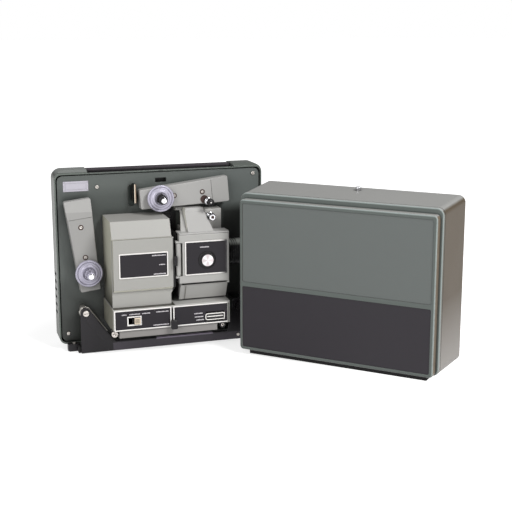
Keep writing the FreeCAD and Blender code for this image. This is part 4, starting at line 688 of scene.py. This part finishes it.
inletLook = {"nut": [(-50.4, 5.4), (-50.6, 6.0), (-52.4, 6.0), (-53.2, 5.1), (-53.2, 3.0), (-52.9, 2.6)],
             "nutSides": 6, "well": [(-52.8, 2.3), (-53.3, 2.3), (-53.3, 1.2), (-53.0, 1.0)], "wellSides": 24,
             "round": 0.2}


def inletCap():
    look = inletLook
    nut = turnedForm("inletCap", middleOf("inlet_roller"), look["nut"], look["nutSides"])
    roundEdges(nut, look["round"])
    dress(nut, "chrome", "case", "bright_alloy")
    # a dark disc painted as the shade in the nut's hole
    well = turnedForm("inletWell", middleOf("inlet_roller"), look["well"], look["wellSides"])
    dress(well, "recessShadeBrown", "case", "bright_alloy")


feedLook = {"cap": [(-50.4, 4.6), (-50.8, 5.0), (-52.0, 5.0), (-52.8, 4.0), (-53.0, 2.0)], "capSides": 32,
            "rivet": [(-52.9, 1.2), (-53.2, 1.2), (-53.5, 0.7)], "rivetSides": 20, "round": 0.2,
            "rollerShadow": [(-23.8, 6.4), (-24.2, 6.4), (-24.4, 6.1), (-24.4, 5.6), (-24.15, 5.2), (-24.15, 1.0)],
            "rollerShadowShift": (-3.4, 1.4), "rollerShadowSides": 40}


def feedCap():
    look = feedLook
    x, z = middleOf("feed_roller")
    cap = turnedForm("feedCap", (x, z), look["cap"], look["capSides"])
    roundEdges(cap, look["round"])
    dress(cap, "mouldedBlack", "upper_arm", "bright_alloy")
    rivet = turnedForm("feedRivet", (x, z), look["rivet"], look["rivetSides"])
    dress(rivet, "trimWhite", "upper_arm", "bright_alloy")
    # dark dished disc on the arm, painted as the roller's shadow behind it and to its left
    shiftX, shiftZ = look["rollerShadowShift"]
    rollerShadow = turnedForm("feedRollerShadow", (x + shiftX, z + shiftZ), look["rollerShadow"], look["rollerShadowSides"])
    dress(rollerShadow, "recessShadeBrown", "upper_arm", "bright_alloy")


inletCap()
feedCap()
print("stage: film rollers")


# Focus knob's turned disc

discLook = {"backEdge": 0.2, "bevel": 0.3, "rim": 0.4, "ring": 1.4, "dish": 0.12, "dishEdge": 0.2, "hub": 1.0,
            "hubHole": 0.5, "sides": 64, "round": 0.06}


def focusDisc():
    look = discLook
    low, high = boxOf("focus_cap")
    radius = (high[0] - low[0]) / 2
    back, front = high[1], low[1]
    ring = radius - look["ring"]
    disc = turnedForm("focusDisc", middleOf("focus_cap"), [
        (back, radius - look["backEdge"]), (front + look["bevel"], radius), (front, radius - look["rim"]),
        (front, ring),
        (front + look["dish"], ring - look["dishEdge"]), (front + look["dish"], look["hub"]),
        (front + look["bevel"], look["hubHole"])], look["sides"])
    roundEdges(disc, look["round"])
    dress(disc, "turnedDiscSheen", "focus", "bright_alloy", "focus_cap")


focusDisc()
print("stage: focus disc")


# Screws with slots, each turned a little further than the one before

screwLook = {  # heads: depth behind the front and share of the radius
    "domedHead": ((0.8, 1.0), (0.2, 0.78), (0.0, 0.5)),
    "hollowHead": ((0.5, 1.0), (0.0, 0.8), (0.0, 0.5), (0.7, 0.42)),
    "slot": 0.9, "slotDepth": 0.7, "slotPast": 1.0, "slotAbove": 0.5, "sides": 32, "round": 0.12,
    "panelSpots": ((-102.5, 260.8, True), (154.8, 271.4, False), (-155, 26.2, False), (131, 26.2, False),
                   (140, 150, True)),
    "panelRadius": 3.0, "panelDepth": (0.0, -1.9), "panelTurns": (35, 47),
    "armSpots": {"upper_arm": ((62.3, 248.6), (16.0, 244.7)), "left_arm": ((-133.3, 202.1), (-127.6, 154.0))},
    "armRadius": 2.6, "armDepth": (-23.8, -24.9), "armTurns": (20, 70),
    "armRing": [(-23.8, 4.2), (-24.15, 4.2), (-24.3, 3.9), (-24.3, 2.9), (-24.1, 2.8)],
    "controlSpots": ((-94.5, 41.5, 4.9), (79.0, 41.5, 2.8)),
    "controlDepth": (-75.2, -79.3), "controlTurns": (15, 40),
    "collar": [(-75.2, 4.9), (-78.2, 4.9), (-78.6, 4.5), (-78.6, 2.0)]}


def slottedScrew(name, centre, radius, depth, slotTurn, hollow=False):
    # domed head, or one with a sunk middle
    look = screwLook
    back, front = depth
    shape = look["hollowHead" if hollow else "domedHead"]
    profile = [(back, radius)] + [(front + behind, radius * share) for behind, share in shape]
    head = turnedForm(name, centre, profile, look["sides"])
    reach, half = radius + look["slotPast"], look["slot"] / 2
    slot = blockForm(name + "Slot", (centre[0] - reach, front - look["slotAbove"], centre[1] - half),
                     (centre[0] + reach, front + look["slotDepth"], centre[1] + half))
    turnAbout(slot, centre, slotTurn)
    cutAway(head, slot)
    roundEdges(head, look["round"])
    return head


def panelScrews():
    look = screwLook
    first, step = look["panelTurns"]
    heads = [slottedScrew("panelScrew", (x, z), look["panelRadius"], look["panelDepth"],
                          first + step * index, hollow)
             for index, (x, z, hollow) in enumerate(look["panelSpots"])]
    dress(joined("panelScrews", heads), "screwPlated", "case", "plated_screws", "panel_screws")


def armScrews():
    look = screwLook
    first, step = look["armTurns"]
    for body, spots in look["armSpots"].items():
        heads = [slottedScrew("armScrew", spot, look["armRadius"], look["armDepth"], first + step * index, True)
                 for index, spot in enumerate(spots)]
        dress(joined(body + "Screws", heads), "screwPlated", body, "plated_screws")
        # dark rings painted as the shade of each screw's recess
        rings = [turnedForm("armRing", spot, look["armRing"], look["sides"]) for spot in spots]
        dress(joined(body + "ScrewRings", rings), "recessShadeBrown", body, "plated_screws")


def controlScrews():
    look = screwLook
    first, step = look["controlTurns"]
    heads = [slottedScrew("controlScrew", (x, z), radius, look["controlDepth"], first + step * index, True)
             for index, (x, z, radius) in enumerate(look["controlSpots"])]
    dress(joined("controlScrews", heads), "screwPlated", "case", "plated_screws", "control_screws")
    x, z, radius = look["controlSpots"][1]
    collar = turnedForm("controlCollar", (x, z), look["collar"], look["sides"])
    dress(collar, "mouldedBlack", "case", "plated_screws")


# Dark line painted as shade along the crease where each arm's root slopes back from its front face

creaseShadeLook = {"upper_arm": {"tip": (-38.7, 240.1), "angle": 4.6},
            "left_arm": {"tip": (-120.6, 99.3), "angle": 96.6}, "from": 117.0, "half": 18.4, "width": 0.7,
            "face": -24.0, "proud": 0.06, "sunk": 0.4, "round": 0.04}


def armCreaseShade(body):
    look = creaseShadeLook
    x, z = look[body]["tip"]
    shadeLine = blockForm(body + "Seam",
                     (x + look["from"] - look["width"] / 2, look["face"] - look["proud"], z - look["half"]),
                     (x + look["from"] + look["width"] / 2, look["face"] + look["sunk"], z + look["half"]))
    turnAbout(shadeLine, (x, z), -look[body]["angle"])
    roundEdges(shadeLine, look["round"])
    dress(shadeLine, "creaseShade", body, "light_grey")


panelScrews()
armScrews()
controlScrews()
armCreaseShade("upper_arm")
armCreaseShade("left_arm")
print("stage: screws and seams")


# Printed legends: rows of bare strokes, like lines of print seen from afar, raised by a coat of ink

lampPlateFace = -77.8
controlPlateFace = -80.8
printLook = {"pitch": 2.2, "space": 0.45, "proud": 0.12, "sunk": 0.05, "shortStroke": 0.82}
legends = {  # each row from x to x and z to z
    "lampPrint": ("case", lampPlateFace, (
        (-33.4, -11.4, 161.0, 162.8), (-22.4, -12.8, 146.2, 147.9), (-31.2, -11.6, 131.6, 133.4))),
    "focusPrint": ("door", lampPlateFace, ((43.0, 58.0, 169.2, 171.0),)),
    "controlPrint": ("case", controlPlateFace, (
        (-83.5, -75.6, 70.9, 72.6), (-71.5, -54.6, 70.9, 72.6), (-51.6, -38.6, 71.0, 72.7),
        (-29.3, -9.5, 71.6, 73.3), (-34.0, -9.0, 50.7, 52.4), (32.0, 45.6, 63.2, 65.0),
        (32.6, 46.8, 57.7, 59.5), (35.2, 47.6, 52.6, 54.4)))}


def printedRows(name, body, face, rows):
    look = printLook
    strokes = []
    for x0, x1, z0, z1 in rows:
        count = max(2, round((x1 - x0) / look["pitch"]))
        pitch = (x1 - x0) / count
        for index in range(count):
            left = x0 + index * pitch
            height = (z1 - z0) * (1.0 if index % 3 else look["shortStroke"])
            strokes.append(blockForm(name, (left, face - look["proud"], z0),
                                     (left + pitch - look["space"], face + look["sunk"], z0 + height)))
    dress(joined(name, strokes), "printWhite", body, "white_trim")


for legend, (bodyName, plateFace, legendRows) in legends.items():
    printedRows(legend, bodyName, plateFace, legendRows)
print("stage: printed legends")


# Ribbed black film channel between the lamp house and the hood

channelLook = {"x": (-1.5, 16.5), "y": (-6.8, -1.5), "z": (191.6, 221.0), "rib": 1.1, "ribs": 4,
               "ribShort": 0.4, "dip": 1.6, "overlap": 0.3, "steps": 6, "stepFrom": 3, "stepPitch": 4.4,
               "stepHigh": 1.0, "stepInset": 1.2, "stepBack": 0.8, "round": 0.15}


def filmChannel():
    look = channelLook
    (x0, x1), (y0, y1), (z0, z1) = look["x"], look["y"], look["z"]
    floor = y0 + look["dip"]
    parts = [blockForm("filmChannel", (x0, floor, z0), (x1, y1, z1))]
    pitch = (x1 - x0 - look["rib"]) / (look["ribs"] - 1)
    for index in range(look["ribs"]):
        left = x0 + index * pitch
        parts.append(blockForm("channelRib", (left, y0, z0 + look["ribShort"]),
                               (left + look["rib"], floor + look["overlap"], z1 - look["ribShort"])))
    for index in range(look["steps"]):
        level = z0 + look["stepFrom"] + look["stepPitch"] * index
        parts.append(blockForm("channelStep", (x0 + look["stepInset"], y0 + look["stepBack"], level),
                               (x1 - look["stepInset"], floor + look["overlap"], level + look["stepHigh"])))
    channel = joined("filmChannel", parts)
    roundEdges(channel, look["round"])
    dress(channel, "mouldedBlack", "case", "black_plastic")


filmChannel()
print("stage: film channel")


# White frame round the speed wheel's window, rounded at its left end

frameLook = {"x": (49.9, 81.6), "z": (51.8, 62.8), "edge": 1.4, "proud": 0.6, "sunk": 0.05,
             "outerCorner": 3.4, "innerCorner": 2.2, "cornerSegments": 5, "through": 2, "near": 0.0001,
             "round": 0.15}


def speedWindow():
    look = frameLook
    face = controlPlateFace
    (x0, x1), (z0, z1), edge = look["x"], look["z"], look["edge"]
    border = blockForm("speedWindow", (x0, face - look["proud"], z0), (x1, face - look["sunk"], z1))
    opening = blockForm("opening", (x0 + edge, face - look["through"], z0 + edge),
                        (x1 - edge, face + look["through"], z1 - edge))
    for piece, radius in ((border, look["outerCorner"]), (opening, look["innerCorner"])):
        corner = piece.modifiers.new("corner", "BEVEL")
        corner.width = radius * mm
        corner.segments = look["cornerSegments"]
        corner.limit_method = "WEIGHT"
        weights = piece.data.attributes.new("bevel_weight_edge", "FLOAT", "EDGE")
        left = min(vertex.co.x for vertex in piece.data.vertices)
        for line in piece.data.edges:
            ends = [piece.data.vertices[index].co for index in line.vertices]
            along = abs(ends[0].y - ends[1].y) > look["near"]
            weights.data[line.index].value = 1.0 if along and abs(ends[0].x - left) < look["near"] else 0.0
        applyModifiers(piece)
    cutAway(border, opening)
    roundEdges(border, look["round"])
    dress(border, "trimWhite", "case", "white_trim")


speedWindow()


# Ribbed thumb drum behind that window; its finish paints one rib white as the index line

drumLook = {"x": (52.2, 79.3), "axle": (47.4, 85.0), "axleRadius": 1.9, "core": 6.8, "bevel": 0.4, "ridge": 8.0,
            "ribs": 15, "ribWidth": 1.5, "ribRoot": 0.5, "firstTurn": -90, "round": 0.2}


def speedDrum():
    look = drumLook
    low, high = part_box("speed_wheel")
    (x0, x1), (a0, a1) = look["x"], look["axle"]
    axle, core, bevel, half = look["axleRadius"], look["core"], look["bevel"], look["ribWidth"] / 2
    parts = [turnedForm("speedDrum", (0, 0), [
        (-a0, axle), (-x0, axle), (-x0, core - bevel), (-x0 - bevel, core), (-x1 + bevel, core),
        (-x1, core - bevel), (-x1, axle), (-a1, axle)])]
    for index in range(look["ribs"]):
        rib = blockForm("drumRib", (-half, -x1 + bevel, core - look["ribRoot"]),
                        (half, -x0 - bevel, look["ridge"]))
        turnAbout(rib, (0, 0), 360 / look["ribs"] * index + look["firstTurn"])
        parts.append(rib)
    drum = joined("speedDrum", parts)
    xTurned(drum, ((low[1] + high[1]) / 2 / mm, (low[2] + high[2]) / 2 / mm))
    roundEdges(drum, look["round"])
    dress(drum, "speedBlack", "speed_control", "black_plastic", "speed_wheel")


speedDrum()


# Ivory thumb piece on the lamp switch, with four grooves

thumbLook = {"right": -54.7, "width": 9.2, "z": (55.9, 66.3), "back": -80.0, "proud": 0.3, "grooves": 4,
             "grooveFrom": 7.9, "groovePitch": 1.7, "grooveWidth": 0.8, "grooveDepth": 0.4,
             "grooveAbove": 1, "grooveZ": (57.4, 64.8), "round": 0.3}


def switchThumb():
    look = thumbLook
    right, face = look["right"], boxOf("switch_slider")[0][1]
    thumb = blockForm("switchThumb", (right - look["width"], face - look["proud"], look["z"][0]),
                      (right, look["back"], look["z"][1]))
    for index in range(look["grooves"]):
        left = right - look["grooveFrom"] + look["groovePitch"] * index
        cutAway(thumb, blockForm("groove", (left, face - look["grooveAbove"], look["grooveZ"][0]),
                                 (left + look["grooveWidth"], face + look["grooveDepth"], look["grooveZ"][1])))
    roundEdges(thumb, look["round"])
    dress(thumb, "switchIvory", "lamp_switch", "switch_tan")


switchThumb()


# Rivets and fine raised border of the small label plate

labelLook = {"rivetInset": 1.8, "rivet": ((0.1, 0.8), (-0.25, 0.75), (-0.5, 0.4)), "rivetSides": 16,
             "borderInset": (3.2, 3.0), "borderWidth": 0.4, "proud": 0.12, "sunk": 0.1, "through": 1}


def labelDetails():
    look = labelLook
    low, high = boxOf("label_plate")
    x0, front, z0 = low
    x1, z1 = high[0], high[2]
    inset, (sideX, sideZ), width = look["rivetInset"], look["borderInset"], look["borderWidth"]
    profile = [(front + depth, radius) for depth, radius in look["rivet"]]
    rivets = [turnedForm("labelRivet", (x, z), profile, look["rivetSides"])
              for x in (x0 + inset, x1 - inset) for z in (z0 + inset, z1 - inset)]
    outer = blockForm("labelBorder", (x0 + sideX, front - look["proud"], z0 + sideZ),
                      (x1 - sideX, front + look["sunk"], z1 - sideZ))
    inner = blockForm("labelInner", (x0 + sideX + width, front - look["through"], z0 + sideZ + width),
                      (x1 - sideX - width, front + look["through"], z1 - sideZ - width))
    cutAway(outer, inner)
    dress(joined("labelDetails", [outer] + rivets), "labelRule", "case", "label_metal")


labelDetails()


# Lens: coated front element in a thin bright ring, turned about the optical axis

lensLook = {
    "axis": (-42.0, 152.0), "sides": 64, "round": 0.12, "glassAngle": 60.0,
    "ring": [(-116.0, 17.6), (-123.4, 18.9), (-124.2, 18.9), (-124.2, 17.4), (-118.6, 16.5), (-116.0, 16.3),
             (-116.0, 17.6)],
    "glass": [(-115.6, 16.2), (-117.4, 16.2), (-118.9, 13.6), (-120.0, 10.2), (-120.7, 6.0), (-120.9, 2.0)]}


def lensParts():
    look = lensLook
    ring = xTurned(turnedForm("lensRing", (0, 0), look["ring"], look["sides"]), look["axis"])
    roundEdges(ring, look["round"])
    dress(ring, "chrome", "lens", "lens_black")
    front = xTurned(turnedForm("lensFront", (0, 0), look["glass"], look["sides"]), look["axis"])
    smoothShade(front, look["glassAngle"])
    dress(front, "glass", "lens", "lens_glass")


lensParts()
print("stage: trim, switch and lens")


# Studio

studio = {"floorSize": 60.0, "floorColour": (205, 205, 205), "floorRoughness": 0.9, "nearLift": 0.68,
          "farLift": 1.0, "liftFrom": 0.2, "liftTo": 0.38, "worldStrength": 0.3, "aim": (0.1, -0.1, 0.12),
          "keyPower": 72.0, "keySize": 0.9, "keyAt": (1.18, -2.13, 2.08),
          "fillPower": 36.0, "fillSize": 1.6, "fillAt": (-1.7, -1.8, 1.2)}


def whiteFloorMaterial():
    # pale matt floor; camera, mirror and glass rays see it lifted to white, more so far from the case
    material, tree, shader = newMaterial("floorWhite")
    place = addNode(tree, "ShaderNodeTexCoord").outputs["Object"]
    fade = addNode(tree, "ShaderNodeMapRange", {
        "Value": vectorNode(tree, "LENGTH", place), "From Min": studio["liftFrom"],
        "From Max": studio["liftTo"], "To Min": studio["nearLift"], "To Max": studio["farLift"]},
        interpolation_type="SMOOTHSTEP")
    path = addNode(tree, "ShaderNodeLightPath").outputs
    seen = mathNode(tree, "MAXIMUM", path["Is Camera Ray"],
                    mathNode(tree, "MAXIMUM", path["Is Glossy Ray"], path["Is Transmission Ray"]))
    fill(shader, {"Base Color": tone(studio["floorColour"]), "Roughness": studio["floorRoughness"],
                  "Specular IOR Level": 0.0, "Emission Color": (1, 1, 1, 1),
                  "Emission Strength": mathNode(tree, "MULTIPLY", seen, fade.outputs["Result"])})
    return material


def buildFloor():
    deselectAll()
    bpy.ops.mesh.primitive_plane_add(size=studio["floorSize"], location=(0, 0, 0))
    floor = bpy.context.object
    floor.name = "studioFloor"
    floor.data.materials.append(whiteFloorMaterial())


def buildWorld():
    # full white to the camera, weaker as a light
    world = bpy.data.worlds.new("studioWorld")
    bpy.context.scene.world = world
    world.use_nodes = True
    tree, plain = world.node_tree, studio["worldStrength"]
    path = addNode(tree, "ShaderNodeLightPath").outputs
    seen = mathNode(tree, "MULTIPLY", path["Is Camera Ray"], 1.0 - plain)
    fill(tree.nodes["Background"], {"Color": (1, 1, 1, 1), "Strength": mathNode(tree, "ADD", seen, plain)})


def placeLamp(name, place, power, size):
    # square soft lamp that looks at the middle of the object
    lamp = bpy.data.lights.new(name, "AREA")
    lamp.energy = power
    lamp.size = size
    holder = bpy.data.objects.new(name, lamp)
    bpy.context.scene.collection.objects.link(holder)
    holder.location = place
    way = [aim - start for aim, start in zip(studio["aim"], place)]
    flat = math.hypot(way[0], way[1])
    holder.rotation_euler = (math.atan2(flat, -way[2]), 0, math.atan2(way[1], way[0]) - math.pi / 2)


cameraLook = {"lens": 72.56, "sensor": 36.0, "shiftY": -0.0485, "near": 0.05, "far": 60.0,
              "at": (-0.3646, -1.6023, 0.5125), "down": 11.37, "turn": -18.15}


def buildCamera():
    # stands where the photograph was taken from
    look = cameraLook
    camera = bpy.data.cameras.new("photoCamera")
    camera.lens = look["lens"]
    camera.sensor_width = look["sensor"]
    camera.shift_y = look["shiftY"]
    camera.clip_start = look["near"]
    camera.clip_end = look["far"]
    holder = bpy.data.objects.new("photoCamera", camera)
    bpy.context.scene.collection.objects.link(holder)
    holder.location = look["at"]
    holder.rotation_euler = (math.radians(90 - look["down"]), 0, math.radians(look["turn"]))
    bpy.context.scene.camera = holder


buildFloor()
buildWorld()
placeLamp("keyLamp", studio["keyAt"], studio["keyPower"], studio["keySize"])
placeLamp("fillLamp", studio["fillAt"], studio["fillPower"], studio["fillSize"])
buildCamera()
bpy.context.scene.view_settings.view_transform = "Standard"
print("stage: studio and camera ready")
